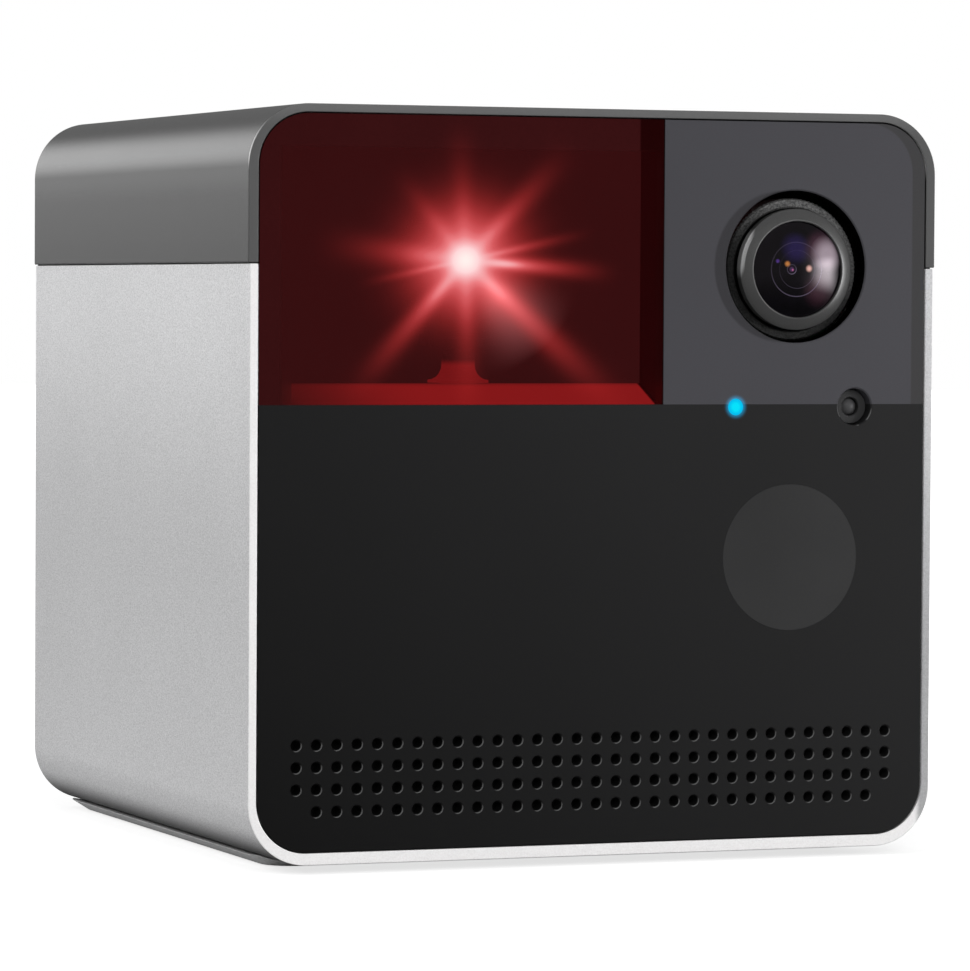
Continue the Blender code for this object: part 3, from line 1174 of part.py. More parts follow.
def make_chassis():
    outer = box_outline(-CORE_HALF, CORE_HALF, CORE_BOTTOM, CORE_TOP, CHASSIS_RADIUS)
    chassis = prism("inner_chassis", outer, "Y", CHASSIS_FRONT, CORE_BACK)
    half = CORE_HALF - CHASSIS_WALL
    inner = box_outline(-half, half, CHASSIS_FLOOR, CORE_TOP - CHASSIS_WALL, CHASSIS_RADIUS - CHASSIS_WALL)
    cut(chassis, prism("cut_chassis_hollow", inner, "Y", CHASSIS_PLATE_BACK, CORE_BACK + OVERRUN))
    root = CHASSIS_FRONT + CHASSIS_PLATE / 2
    for number, place in enumerate(screw_places(), 1):
        post = circle_outline(place, SCREW_POST_RADIUS, SMALL_SIDES)
        start = CORE_BACK - SCREW_POST_LENGTH
        join(chassis, prism(f"join_screw_post_{number}", post, "Y", start, CORE_BACK - GAP))
    for number, place in enumerate(main_board_places(), 1):
        post = circle_outline(place, STANDOFF_RADIUS, SMALL_SIDES)
        join(chassis, prism(f"join_standoff_{number}", post, "Y", root, MAIN_BOARD_FRONT - GAP))
    floor_middle = CORE_BOTTOM + CHASSIS_WALL / 2
    for number, x in enumerate((-POWER_POST_SPREAD, POWER_POST_SPREAD), 1):
        post = circle_outline((x, POWER_POST_Y), POWER_POST_RADIUS, SMALL_SIDES)
        join(chassis, prism(f"join_power_post_{number}", post, "Z", floor_middle, POWER_BOARD_BOTTOM - GAP))
    for number, place in enumerate(screw_places(), 1):
        bore = circle_outline(place, SCREW_HOLE_RADIUS, SMALL_SIDES)
        start = SCREW_HEAD_FRONT - SCREW_LENGTH - GAP
        cut(chassis, prism(f"cut_post_bore_{number}", bore, "Y", start, CORE_BACK + OVERRUN))
    width = CHASSIS_SLOT_HALF_WIDTH
    height = CHASSIS_SLOT_HALF_HEIGHT
    slot = box_outline(-width, width, MIDDLE_Z - height, MIDDLE_Z + height, height)
    flange = circle_outline((0, 0), NUT_FLANGE_RADIUS + GAP, MIDDLE_SIDES)
    cut(
        chassis,
        prism("cut_cable_slot", slot, "Y", CHASSIS_FRONT - OVERRUN, CHASSIS_PLATE_BACK + OVERRUN),
        prism("cut_nut_flange", flange, "Z", CORE_BOTTOM - OVERRUN, CHASSIS_FLOOR + OVERRUN),
    )
    paint(chassis, DARK_PLASTIC)


def fin_outline():
    """The heat sink seen from above: a base with fins that stand towards the back."""
    step = (2 * HEAT_SINK_HALF - FIN_THICKNESS) / (FIN_COUNT - 1)
    top = HEAT_SINK_BASE + FIN_HEIGHT
    points = []
    for fin in range(FIN_COUNT):
        right = HEAT_SINK_HALF - fin * step
        left = right - FIN_THICKNESS
        points += [(right, HEAT_SINK_BASE), (right, top), (left, top), (left, HEAT_SINK_BASE)]
    return [(-HEAT_SINK_HALF, 0), (HEAT_SINK_HALF, 0), *points[1:-1]]


def make_boards():
    board = box_outline(-MAIN_BOARD_HALF, MAIN_BOARD_HALF, MAIN_BOARD_LOW, MAIN_BOARD_HIGH)
    paint(prism("main_board", board, "Y", MAIN_BOARD_FRONT, MAIN_BOARD_BACK), BOARD_GREEN)
    place = (0, MAIN_BOARD_BACK + GAP, MIDDLE_Z)
    paint(prism("heat_sink", fin_outline(), "Z", -HEAT_SINK_HALF, HEAT_SINK_HALF, place), STEEL)
    half = ANTENNA_HALF_WIDTH
    strip = box_outline(-half, half, MAIN_BOARD_BACK, MAIN_BOARD_BACK + ANTENNA_DEPTH)
    antenna_top = CORE_TOP - CHASSIS_WALL - GAP
    paint(prism("wifi_antenna", strip, "Z", antenna_top - ANTENNA_THICKNESS, antenna_top), BOARD_GREEN)
    power_half = POWER_BOARD_HALF_WIDTH
    power = box_outline(-power_half, power_half, CORE_BACK - POWER_BOARD_LENGTH, CORE_BACK - GAP)
    paint(prism("power_board", power, "Z", POWER_BOARD_BOTTOM, POWER_BOARD_TOP), BOARD_GREEN)


def port_outline(clearance):
    half = PORT_HALF_WIDTH + clearance
    height = PORT_HALF_HEIGHT + clearance
    return box_outline(-half, half, PORT_Z - height, PORT_Z + height, height)


def make_power_port():
    port = prism("usb_port", port_outline(0), "Y", PORT_FRONT, COVER_BACK)
    inner_front = PORT_FRONT + PORT_END_WALL
    cut(port, prism("cut_port_hollow", port_outline(-PORT_WALL), "Y", inner_front, COVER_BACK + OVERRUN))
    half = TONGUE_HALF_WIDTH
    tongue = box_outline(-half, half, PORT_Z - TONGUE_HALF_HEIGHT, PORT_Z + TONGUE_HALF_HEIGHT)
    join(port, prism("join_port_tongue", tongue, "Y", PORT_FRONT + PORT_WALL, COVER_BACK - TONGUE_INSET))
    paint(port, STEEL)


def make_rear_cover():
    cover = prism("rear_cover", face_outline(EDGE_GAP), "Y", COVER_FRONT, COVER_BACK)
    root = COVER_BACK - PANEL_THICKNESS / 2
    for number, x in enumerate((-BUTTON_POST_SPREAD, BUTTON_POST_SPREAD), 1):
        post = circle_outline((x, BUTTON_Z), BUTTON_POST_RADIUS, SMALL_SIDES)
        join(cover, prism(f"join_button_post_{number}", post, "Y", BUTTON_BOARD_BACK + GAP, root))
    start = COVER_FRONT - OVERRUN
    end = COVER_BACK + OVERRUN
    button = circle_outline((0, BUTTON_Z), BUTTON_RADIUS + BUTTON_CLEARANCE, MIDDLE_SIDES)
    cut(
        cover,
        prism("cut_port_opening", port_outline(GAP), "Y", start, end),
        prism("cut_button_hole", button, "Y", start, end),
    )
    for number, place in enumerate(screw_places(), 1):
        shank = circle_outline(place, SCREW_HOLE_RADIUS, SMALL_SIDES)
        head = circle_outline(place, SCREW_HEAD_RADIUS + GAP, SMALL_SIDES)
        cut(
            cover,
            prism(f"cut_screw_hole_{number}", shank, "Y", start, end),
            prism(f"cut_screw_seat_{number}", head, "Y", SCREW_HEAD_FRONT - EDGE_GAP, end),
        )
    for number in range(VENT_COUNT):
        z = CASE_TOP - VENT_FROM_TOP - number * VENT_PITCH
        slot = box_outline(-VENT_HALF_WIDTH, VENT_HALF_WIDTH, z - VENT_HALF_HEIGHT, z + VENT_HALF_HEIGHT)
        cut(cover, prism(f"cut_vent_{number + 1}", slot, "Y", start, end))
    paint(cover, PANEL_BLACK)


def make_screws():
    profile = [
        (0, SCREW_HEAD_FRONT - SCREW_LENGTH),
        (SCREW_RADIUS, SCREW_HEAD_FRONT - SCREW_LENGTH),
        (SCREW_RADIUS, SCREW_HEAD_FRONT),
        (SCREW_HEAD_RADIUS, SCREW_HEAD_FRONT),
        (SCREW_HEAD_RADIUS, SCREW_HEAD_BACK),
        (0, SCREW_HEAD_BACK),
    ]
    for number, (x, z) in enumerate(screw_places(), 1):
        screw = turned(f"rear_screw_{number}", profile, "Y", (x, 0, z), SMALL_SIDES)
        socket = circle_outline((x, z), SOCKET_RADIUS, SOCKET_SIDES)
        depth = SCREW_HEAD_BACK - SOCKET_DEPTH
        cut(screw, prism(f"cut_socket_{number}", socket, "Y", depth, SCREW_HEAD_BACK + OVERRUN))
        paint(screw, BLACK_METAL)


def make_button():
    cap_back = COVER_BACK + BUTTON_PROUD
    flange_front = CORE_BACK - BUTTON_FLANGE_THICKNESS
    profile = [
        (0, BUTTON_STEM_TIP),
        (BUTTON_STEM_RADIUS, BUTTON_STEM_TIP),
        (BUTTON_STEM_RADIUS, flange_front),
        (BUTTON_FLANGE_RADIUS, flange_front),
        (BUTTON_FLANGE_RADIUS, CORE_BACK),
        (BUTTON_RADIUS, CORE_BACK),
        (BUTTON_RADIUS, cap_back - BUTTON_CHAMFER),
        (BUTTON_RADIUS - BUTTON_CHAMFER, cap_back),
        (0, cap_back),
    ]
    paint(turned("setup_button", profile, "Y", (0, 0, BUTTON_Z), MIDDLE_SIDES), DARK_PLASTIC)
    low = BUTTON_Z - SWITCH_HALF
    can = box_outline(-SWITCH_HALF, SWITCH_HALF, low, BUTTON_Z + SWITCH_HALF)
    paint(prism("button_switch", can, "Y", SWITCH_FRONT, SWITCH_BACK), CHIP_BLACK)
    half = BUTTON_BOARD_HALF_WIDTH
    height = BUTTON_BOARD_HALF_HEIGHT
    board = box_outline(-half, half, BUTTON_Z - height, BUTTON_Z + height)
    paint(prism("button_board", board, "Y", BUTTON_BOARD_FRONT, BUTTON_BOARD_BACK), BOARD_GREEN)


def make_all():
    clear_scene()
    make_case()
    make_foot()
    make_front_panel()
    make_laser_window()
    make_chamber()
    make_pedestal()
    pan_axis = add_axis("pan_axis", (PAN_X, PAN_Y, YOKE_BOTTOM))
    tilt_axis = add_axis("tilt_axis", (PAN_X, PAN_Y, TILT_Z), pan_axis)
    make_yoke(pan_axis)
    make_pan_drive(pan_axis)
    make_laser(tilt_axis)
    make_tilt_pinion(pan_axis)
    make_lens()
    make_camera_module()
    make_front_parts()
    make_speaker()
    make_chassis()
    make_boards()
    make_power_port()
    make_rear_cover()
    make_screws()
    make_button()


make_all()
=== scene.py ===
"""A cube-shaped pet camera with a laser toy behind a dark red window, dressed for a studio picture."""

import math

import bmesh
import bpy
from mathutils import Matrix, Vector


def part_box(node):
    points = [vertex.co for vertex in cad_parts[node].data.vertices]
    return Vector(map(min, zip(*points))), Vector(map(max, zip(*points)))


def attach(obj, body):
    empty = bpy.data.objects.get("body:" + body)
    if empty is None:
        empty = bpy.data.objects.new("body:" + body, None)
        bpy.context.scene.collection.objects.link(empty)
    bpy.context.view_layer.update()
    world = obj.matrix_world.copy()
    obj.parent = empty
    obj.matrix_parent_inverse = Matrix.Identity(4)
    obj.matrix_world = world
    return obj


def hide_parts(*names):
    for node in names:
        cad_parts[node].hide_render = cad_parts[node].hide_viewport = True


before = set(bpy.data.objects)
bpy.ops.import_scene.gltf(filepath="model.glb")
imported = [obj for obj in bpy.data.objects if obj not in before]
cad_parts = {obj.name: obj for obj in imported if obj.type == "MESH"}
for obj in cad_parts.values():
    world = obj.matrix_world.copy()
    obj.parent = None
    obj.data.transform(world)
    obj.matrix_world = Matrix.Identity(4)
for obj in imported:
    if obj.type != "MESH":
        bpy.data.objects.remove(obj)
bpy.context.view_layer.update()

# Camera, worked out from the photograph
CAMERA_PLACE = (-0.22194, -0.57893, 0.06229)
CAMERA_YAW = math.radians(21.176)
CAMERA_PITCH = math.radians(-2.0483)
CAMERA_ROLL = math.radians(0.3426)
CAMERA_LENS = 197.32
CAMERA_SENSOR = 36

# Case
FRONT = -0.0405
BACK = 0.0405
CASE_HALF = 0.0403
CASE_LOW = 0.0009
CASE_RADIUS = 0.0066
CASE_WALL = 0.0019
RIM = 0.0009
RIM_LOW = 0.0013
REBATE = 0.0024
CAP_HALF = 0.0405
CAP_RADIUS = 0.0068
CAP_LOW = 0.06565
CAP_TOP = 0.0827
CAP_WALL = 0.0021
SEAM_GAP = 0.00013
EDGE_ROUND = 0.00012
EDGE_SEGMENTS = 3
EDGE_ANGLE = math.radians(50)
SHARP_ANGLE = math.radians(30)
GASKET_INSET = 0.00025
LIP_DEPTH = 0.003
LIP_OUTER = 0.0381
LIP_INNER = 0.0371
NUT_HOLE = 0.0053
TRAY_HALF = 0.035
TRAY_ENDS = (-0.0326, 0.0384)
TRAY_FLARE = 0.002
TRAY_LEDGE = 0.0018
TRAY_EDGE = 0.00125
TRAY_RADIUS = 0.0035

# Front panel and what is set into it
SEAM = 0.00001
CORNER_RADIUS = 0.00555
CORNER_STEPS = 24
HOLE_CHAMFER = 0.00014
HOLE_SIDES = 24
SMOOTH_SIDES = 96
SMALL_SIDES = 48
LENS_HOLE_RADIUS = 0.00845
LENS_HOLE_RISE = 0.0003
EDGE_GAP = 0.00015
GAP = 0.0003
OVERRUN = 0.001
GRILLE_PITCH = 0.002325
GRILLE_ROW_PITCH = 0.0024
GRILLE_HOLE_RADIUS = 0.00058
GRILLE_COLUMNS = 31
GRILLE_ROWS = 4
GRILLE_TOP = 0.01382
LIGHT_FACE_INSET = 0.00015
LIGHT_FACE_DEPTH = 0.0001
SENSOR_HOLE_RADIUS = 0.00205
SENSOR_DEPTH = 0.0012
SENSOR_RISE = 0.0008
SENSOR_STEPS = 8
SEAT_GAP = 0.0002
SEAT_EDGE = 0.0001
SEAT_FLANGE = 0.001

# Lens
DOME_STEPS = 20
DOME_RISE = 0.0011
FOCUS_WALL = 0.0011
FOCUS_EDGE = 0.0002
FOCUS_SIDES = 384
KNURL_SIDES = 4
KNURL_DEPTH = 0.00008

# Panel's paint: the lens field's backing, the shade in the lens hole and the light's halo
BACKING_SHIFT = 0.0015
BACKING_BLUR = 0.00012
SHADE_EDGE = (0.0001, -0.00025)
HALO_REACH = (0.00085, 0.0016)
HALO_BRIGHT = 0.55

# Pane: the share of it that hides what is behind, and its printed border
PANE_SHOWN = 0.7
BORDER = 0.0027
BORDER_TOP = 0.0037
DARK_END = (-0.0030, -0.0027)

# Window's inside, with red light painted on as glow: its glows, the edges of its floor and right wall, and
# where the floor dims
CHAMBER_DIM = (0.004, 0.0005, 0.0005)
WALL_GLOW = (0.076, 0.0118, 0.0125)
PEDESTAL_GLOW = (0.5, 0.02, 0.022)
FLOOR_EDGE = (0.0026, 0.0018)
WALL_EDGE = (-0.0001, 0.0002)
FLOOR_DIM = (-0.036, -0.018)
FLOOR_END = (-0.033, -0.0368)

# Laser star, painted on the pane as a glow
STAR_X = -0.01571
STAR_Z = 0.06604
STAR_FULL = 1.5

# Star's wide glow and hot middle: brightness and reach
STAR_GLOWS = ((0.95, 0.0050), (0.55, 0.0016))

# Rays: angle in degrees, length, width and brightness
RAY_RISE = (0.001, 0.006)
RAYS = (
    (-4.5, 0.0175, 0.0008, 1.25),
    (13, 0.0150, 0.0005, 0.60),
    (47, 0.0180, 0.0012, 0.57),
    (93, 0.0165, 0.0012, 0.28),
    (128, 0.0135, 0.0010, 0.34),
    (174, 0.0172, 0.0014, 0.57),
    (193, 0.0125, 0.0004, 0.55),
    (230, 0.0205, 0.0011, 0.78),
    (271, 0.0200, 0.0012, 0.36),
    (317, 0.0260, 0.0014, 0.74),
)

# Haze under the star, in a wedge
HAZE_ANGLE = 312
HAZE_SPREAD = 0.36
HAZE_START = 0.0001
HAZE_RISE = (0.002, 0.006)
HAZE_LENGTH = 0.0128
HAZE_BRIGHT = 1.4
HAZE_COLOUR = (0.4, 0.112, 0.118)

# Star's colours from its edge to its middle: brightness and colour
STAR_COLOURS = (
    (0.00, (0.0, 0.0, 0.0)),
    (0.10, (0.156, 0.010, 0.010)),
    (0.20, (0.305, 0.024, 0.026)),
    (0.32, (0.485, 0.053, 0.058)),
    (0.43, (0.644, 0.100, 0.110)),
    (0.53, (0.80, 0.20, 0.215)),
    (0.65, (0.90, 0.42, 0.44)),
    (0.78, (0.97, 0.68, 0.69)),
    (1.00, (0.965, 0.875, 0.84)),
)

# Tints behind the front glass, with painted reflections and a painted highlight among them: place from its
# middle, reach and colour
DOME_SHIFT = -0.0004
DOME_TINTS_AND_REFLECTIONS = (
    (-0.0001, 0.0023, 0.0021, (0.014, 0.009, 0.05)),
    # painted reflections: reddish edges of the softbox's highlight at the top right and lower right, and the
    # highlight's painted upper part
    (0.0031, 0.0022, 0.0026, (0.05, 0.016, 0.03)),
    (0.0038, 0.0016, 0.0024, (0.3, 0.24, 0.28)),
    (0.0028, -0.0022, 0.0024, (0.035, 0.012, 0.02)),
    (-0.0012, 0.0006, 0.00042, (0.5, 0.19, 0.05)),
    (-0.0023, 0.0009, 0.0003, (0.07, 0.03, 0.2)),
    # painted reflection: the inner element's pink-white reflection of the softbox
    (0.0014, 0.0001, 0.0005, (0.75, 0.42, 0.36)),
    (-0.0007, 0.0, 0.0004, (0.07, 0.03, 0.09)),
    (-0.0006, -0.00006, 0.00016, (0.5, 0.13, 0.3)),
)

# Edges of the elements behind it: radius, half width, brightness and sideways shift
DOME_EDGES = (
    (0.0030, 0.00008, 0.5, 0.0),
    (0.0021, 0.00006, 0.22, 0.0),
    (0.00052, 0.00007, 1.0, -0.0007),
)

# Lamps: name, place, width, height, power and whether gloss shows it
LAMP_AIM = (0, 0, 0.04)
LAMPS = (
    ("right_softbox", (1.05, -0.85, 0.35), 0.3, 0.75, 8, False),
    ("left_softbox", (-1.2, 0.1, 0.9), 0.8, 0.8, 10, True),
    ("front_fill", (-0.3, -1.6, 0.6), 0.9, 0.9, 11.5, False),
)

# Room that gloss shows: how far it darkens towards the front and below
ROOM_DEPTH = (-0.5, 0.3, 0.1, 0.22)
ROOM_HEIGHT = (-0.6, 0.0, 0.25, 1.0)

# Cards that gloss shows: brightness, and the edges of each across, in depth and in height
CARDS = (
    (1.65, ((-0.56, -0.4, -0.14, 0.02), (0.0, 0.3, 2, 3), (-0.05, 0.17, 0.24, 0.44))),
    (0.5, ((0.35, 0.8, 0.84, 0.96), (-3, -2, -0.3, 0.0), (-0.45, -0.1, 0.2, 0.5))),
    (5.0, ((0.54, 0.8, 0.82, 0.95), (-3, -2, -0.3, 0.0), (-0.32, -0.05, 0.06, 0.2))),
)
WORLD_FILL = 0.35

# Ground under the object
GROUND_RADIUS = 3
GROUND_SIDES = 64
GROUND_DROP = 0.0001
GROUND_SHADE = (0.05, 0.14, 0.72, 1.0)

# Places read from the frame
panel_low, panel_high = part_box("front_panel")
window_low, window_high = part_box("laser_window")
ring_low, ring_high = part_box("lens_ring")
glass_low, glass_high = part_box("lens_glass")
focus_low, focus_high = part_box("focus_ring")
disc_low, disc_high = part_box("ir_window")
cup_low, cup_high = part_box("sensor_cup")
sensor_low, sensor_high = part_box("light_sensor")
pipe_low, pipe_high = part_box("status_light_pipe")
PANEL_FRONT = window_low[1]
PANEL_BACK = window_high[1]
PANEL_HALF = panel_high[0]
PANEL_BOTTOM = panel_low[2]
PANEL_TOP = panel_high[2]
WINDOW_RIGHT = window_high[0] + EDGE_GAP
SPLIT = window_low[2] - EDGE_GAP
PEDESTAL_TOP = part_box("pan_pedestal")[1][2]
LENS_X = (ring_low[0] + ring_high[0]) / 2
LENS_Z = (ring_low[2] + ring_high[2]) / 2
LENS_HOLE_Z = LENS_Z + LENS_HOLE_RISE
RING_RADIUS = (ring_high[0] - ring_low[0]) / 2
GLASS_RADIUS = (glass_high[0] - glass_low[0]) / 2
FOCUS_RADIUS = (focus_high[0] - focus_low[0]) / 2
LIGHT_X = (pipe_low[0] + pipe_high[0]) / 2
LIGHT_Z = (pipe_low[2] + pipe_high[2]) / 2
LIGHT_RADIUS = (pipe_high[0] - pipe_low[0]) / 2 + EDGE_GAP
SENSOR_X = (cup_low[0] + cup_high[0]) / 2
SENSOR_RADIUS = (sensor_high[0] - sensor_low[0]) / 2
SENSOR_FRONT = PANEL_FRONT + SENSOR_DEPTH
DISC_X = (disc_low[0] + disc_high[0]) / 2
DISC_Z = (disc_low[2] + disc_high[2]) / 2
DISC_RADIUS = (disc_high[0] - disc_low[0]) / 2 + EDGE_GAP


def outline_corner(x, z, start, right, up):
    """A quarter circle inside the panel's corner at x, z, in steps from the angle start."""
    centre_x = x - right * CORNER_RADIUS
    centre_z = z - up * CORNER_RADIUS
    points = []
    for step in range(CORNER_STEPS + 1):
        angle = start + math.pi / 2 * step / CORNER_STEPS
        points.append((
            centre_x + CORNER_RADIUS * math.cos(angle),
            centre_z + CORNER_RADIUS * math.sin(angle),
        ))
    return points


def trough_outline(half, open_z, closed_z, radius):
    """A U in x and z: along one side from open_z, round both corners at closed_z, and back."""
    way = 1 if closed_z > open_z else -1
    points = [(-half, open_z)]
    for start, side in ((math.pi, -1), (math.pi / 2, 1)):
        for step in range(CORNER_STEPS + 1):
            angle = start - math.pi / 2 * step / CORNER_STEPS
            x = side * (half - radius) + radius * math.cos(angle)
            points.append((x, closed_z - way * radius + way * radius * math.sin(angle)))
    return points + [(half, open_z)]


def add_object(name, bm):
    """A new object from a bmesh, smooth but for its sharp edges."""
    bmesh.ops.recalc_face_normals(bm, faces=bm.faces[:])
    mesh = bpy.data.meshes.new(name)
    bm.to_mesh(mesh)
    bm.free()
    mesh.shade_smooth()
    mesh.set_sharp_from_angle(angle=SHARP_ANGLE)
    made = bpy.data.objects.new(name, mesh)
    bpy.context.scene.collection.objects.link(made)
    return made


def add_piece(name, bm, body):
    """A new piece from a bmesh, which rides a body."""
    piece = add_object(name, bm)
    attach(piece, body)
    return piece


def add_sheet(bm, outline, front, back):
    """An outline in x and z carried from front to back."""
    face = bm.faces.new([bm.verts.new((x, front, z)) for x, z in outline])
    grown = bmesh.ops.extrude_face_region(bm, geom=[face])["geom"]
    moved = [item for item in grown if isinstance(item, bmesh.types.BMVert)]
    bmesh.ops.translate(bm, verts=moved, vec=(0, back - front, 0))


def add_turned(bm, profile, x, z, sides):
    """A profile of radius and depth spun round the axis through x and z."""
    rings = []
    for radius, depth in profile:
        if radius == 0:
            rings.append([bm.verts.new((x, depth, z))])
            continue
        ring = []
        for side in range(sides):
            angle = 2 * math.pi * side / sides
            ring.append(bm.verts.new((x + radius * math.cos(angle), depth, z + radius * math.sin(angle))))
        rings.append(ring)
    pairs = list(zip(rings, rings[1:]))
    if profile[0][0] > 0:
        pairs.append((rings[-1], rings[0]))
    for first, second in pairs:
        for side in range(sides):
            after = (side + 1) % sides
            corners = [first[side % len(first)], first[after % len(first)]]
            corners += [second[after % len(second)], second[side % len(second)]]
            bm.faces.new(list(dict.fromkeys(corners)))


def add_trough(bm, open_z, sections):
    """A U-shaped wall; each section has its depth, half width, closed end and corner radius."""
    rings = []
    for depth, half, closed_z, radius in sections:
        outline = trough_outline(half, open_z, closed_z, radius)
        rings.append([bm.verts.new((x, depth, z)) for x, z in outline])
    for first, second in zip(rings, rings[1:] + rings[:1]):
        for place in range(len(first) - 1):
            bm.faces.new((first[place], first[place + 1], second[place + 1], second[place]))
    for end in (0, -1):
        bm.faces.new([ring[end] for ring in rings])


def add_block(bm, low, high):
    """A box between two corners."""
    made = bmesh.ops.create_cube(bm, size=1)["verts"]
    for vert in made:
        vert.co = [low[axis] if vert.co[axis] < 0 else high[axis] for axis in range(3)]


def round_edges(piece):
    """A fine rounding of a piece's sharp edges."""
    bevel = piece.modifiers.new("edges", "BEVEL")
    bevel.width = EDGE_ROUND
    bevel.segments = EDGE_SEGMENTS
    bevel.limit_method = "ANGLE"
    bevel.angle_limit = EDGE_ANGLE
    bevel.harden_normals = True


def turned(name, profile, x, z, body, sides=SMOOTH_SIDES):
    """A piece spun from a profile of radius and depth."""
    bm = bmesh.new()
    add_turned(bm, profile, x, z, sides)
    return add_piece(name, bm, body)


def cut(piece, bm):
    """Takes the shapes of a bmesh out of a piece for good."""
    cutter = add_object("cutter", bm)
    modifier = piece.modifiers.new("holes", "BOOLEAN")
    modifier.operation = "DIFFERENCE"
    modifier.solver = "EXACT"
    modifier.object = cutter
    graph = bpy.context.evaluated_depsgraph_get()
    cut_mesh = bpy.data.meshes.new_from_object(piece.evaluated_get(graph))
    cut_mesh.shade_smooth()
    cut_mesh.set_sharp_from_angle(angle=SHARP_ANGLE)
    piece.modifiers.clear()
    piece.data = cut_mesh
    bpy.data.objects.remove(cutter)


def cut_nut_hole(piece, depth):
    """The hole in the bottom for the tripod thread."""
    bm = bmesh.new()
    bmesh.ops.create_cone(
        bm, cap_ends=True, segments=SMOOTH_SIDES, radius1=NUT_HOLE, radius2=NUT_HOLE, depth=depth
    )
    cut(piece, bm)


def wall_sections(outer, rim, wall):
    """A case wall from front to back, with a thin rim at both ends where the panels are set in."""
    return [
        (FRONT, *outer),
        (FRONT, *rim),
        (FRONT + REBATE, *rim),
        (FRONT + REBATE, *wall),
        (BACK - REBATE, *wall),
        (BACK - REBATE, *rim),
        (BACK, *rim),
        (BACK, *outer),
    ]


def make_shell():
    """The silver shell."""
    outer = (CASE_HALF, CASE_LOW, CASE_RADIUS)
    rim = (CASE_HALF - RIM, CASE_LOW + RIM_LOW, CASE_RADIUS - RIM)
    wall = (CASE_HALF - CASE_WALL, CASE_LOW + CASE_WALL, CASE_RADIUS - CASE_WALL)
    bm = bmesh.new()
    add_trough(bm, CAP_LOW - SEAM_GAP, wall_sections(outer, rim, wall))
    shell = add_piece("shell_silver", bm, "case")
    cut_nut_hole(shell, 2 * CASE_LOW + 2 * CASE_WALL)
    round_edges(shell)
    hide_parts("lower_shell")


def make_cap():
    """The grey cap over the shell."""
    outer = (CAP_HALF, CAP_TOP, CAP_RADIUS)
    rim = (CASE_HALF - RIM, CAP_TOP - RIM, CASE_RADIUS - RIM)
    wall = (LIP_INNER, CAP_TOP - CAP_WALL, CAP_RADIUS + LIP_INNER - CAP_HALF)
    bm = bmesh.new()
    add_trough(bm, CAP_LOW, wall_sections(outer, rim, wall))
    cap = add_piece("cap_grey", bm, "case")
    round_edges(cap)
    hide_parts("top_cover")


def make_gasket():
    """The dark gasket in the seam, with a lip behind it on either side."""
    bm = bmesh.new()
    for side in (-1, 1):
        bar = sorted((side * (CASE_HALF - RIM), side * (CASE_HALF - GASKET_INSET)))
        add_block(bm, (bar[0], FRONT + GASKET_INSET, CAP_LOW - SEAM_GAP), (bar[1], BACK - SEAM, CAP_LOW))
        lip = sorted((side * LIP_INNER, side * LIP_OUTER))
        add_block(bm, (lip[0], FRONT + REBATE, CAP_LOW - LIP_DEPTH), (lip[1], BACK - REBATE, CAP_LOW))
    add_piece("seam_gasket", bm, "case")


def under_case(x):
    """The height just below the case, which rises along its lower rounding."""
    aside = max(0, abs(x) - CASE_HALF + CASE_RADIUS)
    return CASE_LOW - EDGE_GAP + CASE_RADIUS - math.sqrt(CASE_RADIUS * CASE_RADIUS - aside * aside)


def tray_ring(flare, height):
    """The foot's outline at one height, wider by a flare, and never higher than the case allows."""
    reach = TRAY_RADIUS + flare
    ring = []
    for corner_x, corner_y, start in ((1, 1, 0), (-1, 1, 1), (-1, -1, 2), (1, -1, 3)):
        for step in range(CORNER_STEPS + 1):
            angle = math.pi / 2 * (start + step / CORNER_STEPS)
            x = corner_x * (TRAY_HALF - TRAY_RADIUS) + reach * math.cos(angle)
            y = TRAY_ENDS[corner_y > 0] - corner_y * TRAY_RADIUS + reach * math.sin(angle)
            ring.append((x, y, min(height, under_case(x))))
    return ring


def make_foot():
    """The grey rubber foot, its sides raised along the case's rounding, with the tripod thread's hole."""
    bm = bmesh.new()
    rings = []
    for flare, height in ((0, 0), (TRAY_FLARE, TRAY_EDGE), (-TRAY_LEDGE, TRAY_EDGE)):
        rings.append([bm.verts.new(place) for place in tray_ring(flare, height)])
    for lower, upper in zip(rings, rings[1:]):
        for place, corner in enumerate(lower):
            after = (place + 1) % len(lower)
            bm.faces.new((corner, lower[after], upper[after], upper[place]))
    bm.faces.new(rings[0])
    bm.faces.new(rings[-1])
    foot = add_piece("foot_tray", bm, "case")
    cut_nut_hole(foot, 4 * CASE_LOW)
    round_edges(foot)
    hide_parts("foot_pad")


def grille_places():
    """The centres of the speaker holes, with two fewer in the lowest row."""
    span = (GRILLE_COLUMNS - 1) / 2 * GRILLE_PITCH
    places = []
    for row in range(GRILLE_ROWS):
        last = row == GRILLE_ROWS - 1
        for column in range(last, GRILLE_COLUMNS - last):
            places.append((column * GRILLE_PITCH - span, GRILLE_TOP - row * GRILLE_ROW_PITCH))
    return places


def add_hole(bm, x, z, radius):
    """A cutter right through the panel."""
    profile = [
        (0, PANEL_FRONT - OVERRUN),
        (radius, PANEL_FRONT - OVERRUN),
        (radius, PANEL_BACK + OVERRUN),
        (0, PANEL_BACK + OVERRUN),
    ]
    add_turned(bm, profile, x, z, SMOOTH_SIDES)


def add_chamfered_hole(bm, x, z, radius, sides):
    """A cutter right through the panel, wider at the front for a chamfer."""
    profile = [
        (0, PANEL_FRONT - OVERRUN),
        (radius + HOLE_CHAMFER + OVERRUN, PANEL_FRONT - OVERRUN),
        (radius, PANEL_FRONT + HOLE_CHAMFER),
        (radius, PANEL_BACK + OVERRUN),
        (0, PANEL_BACK + OVERRUN),
    ]
    add_turned(bm, profile, x, z, sides)


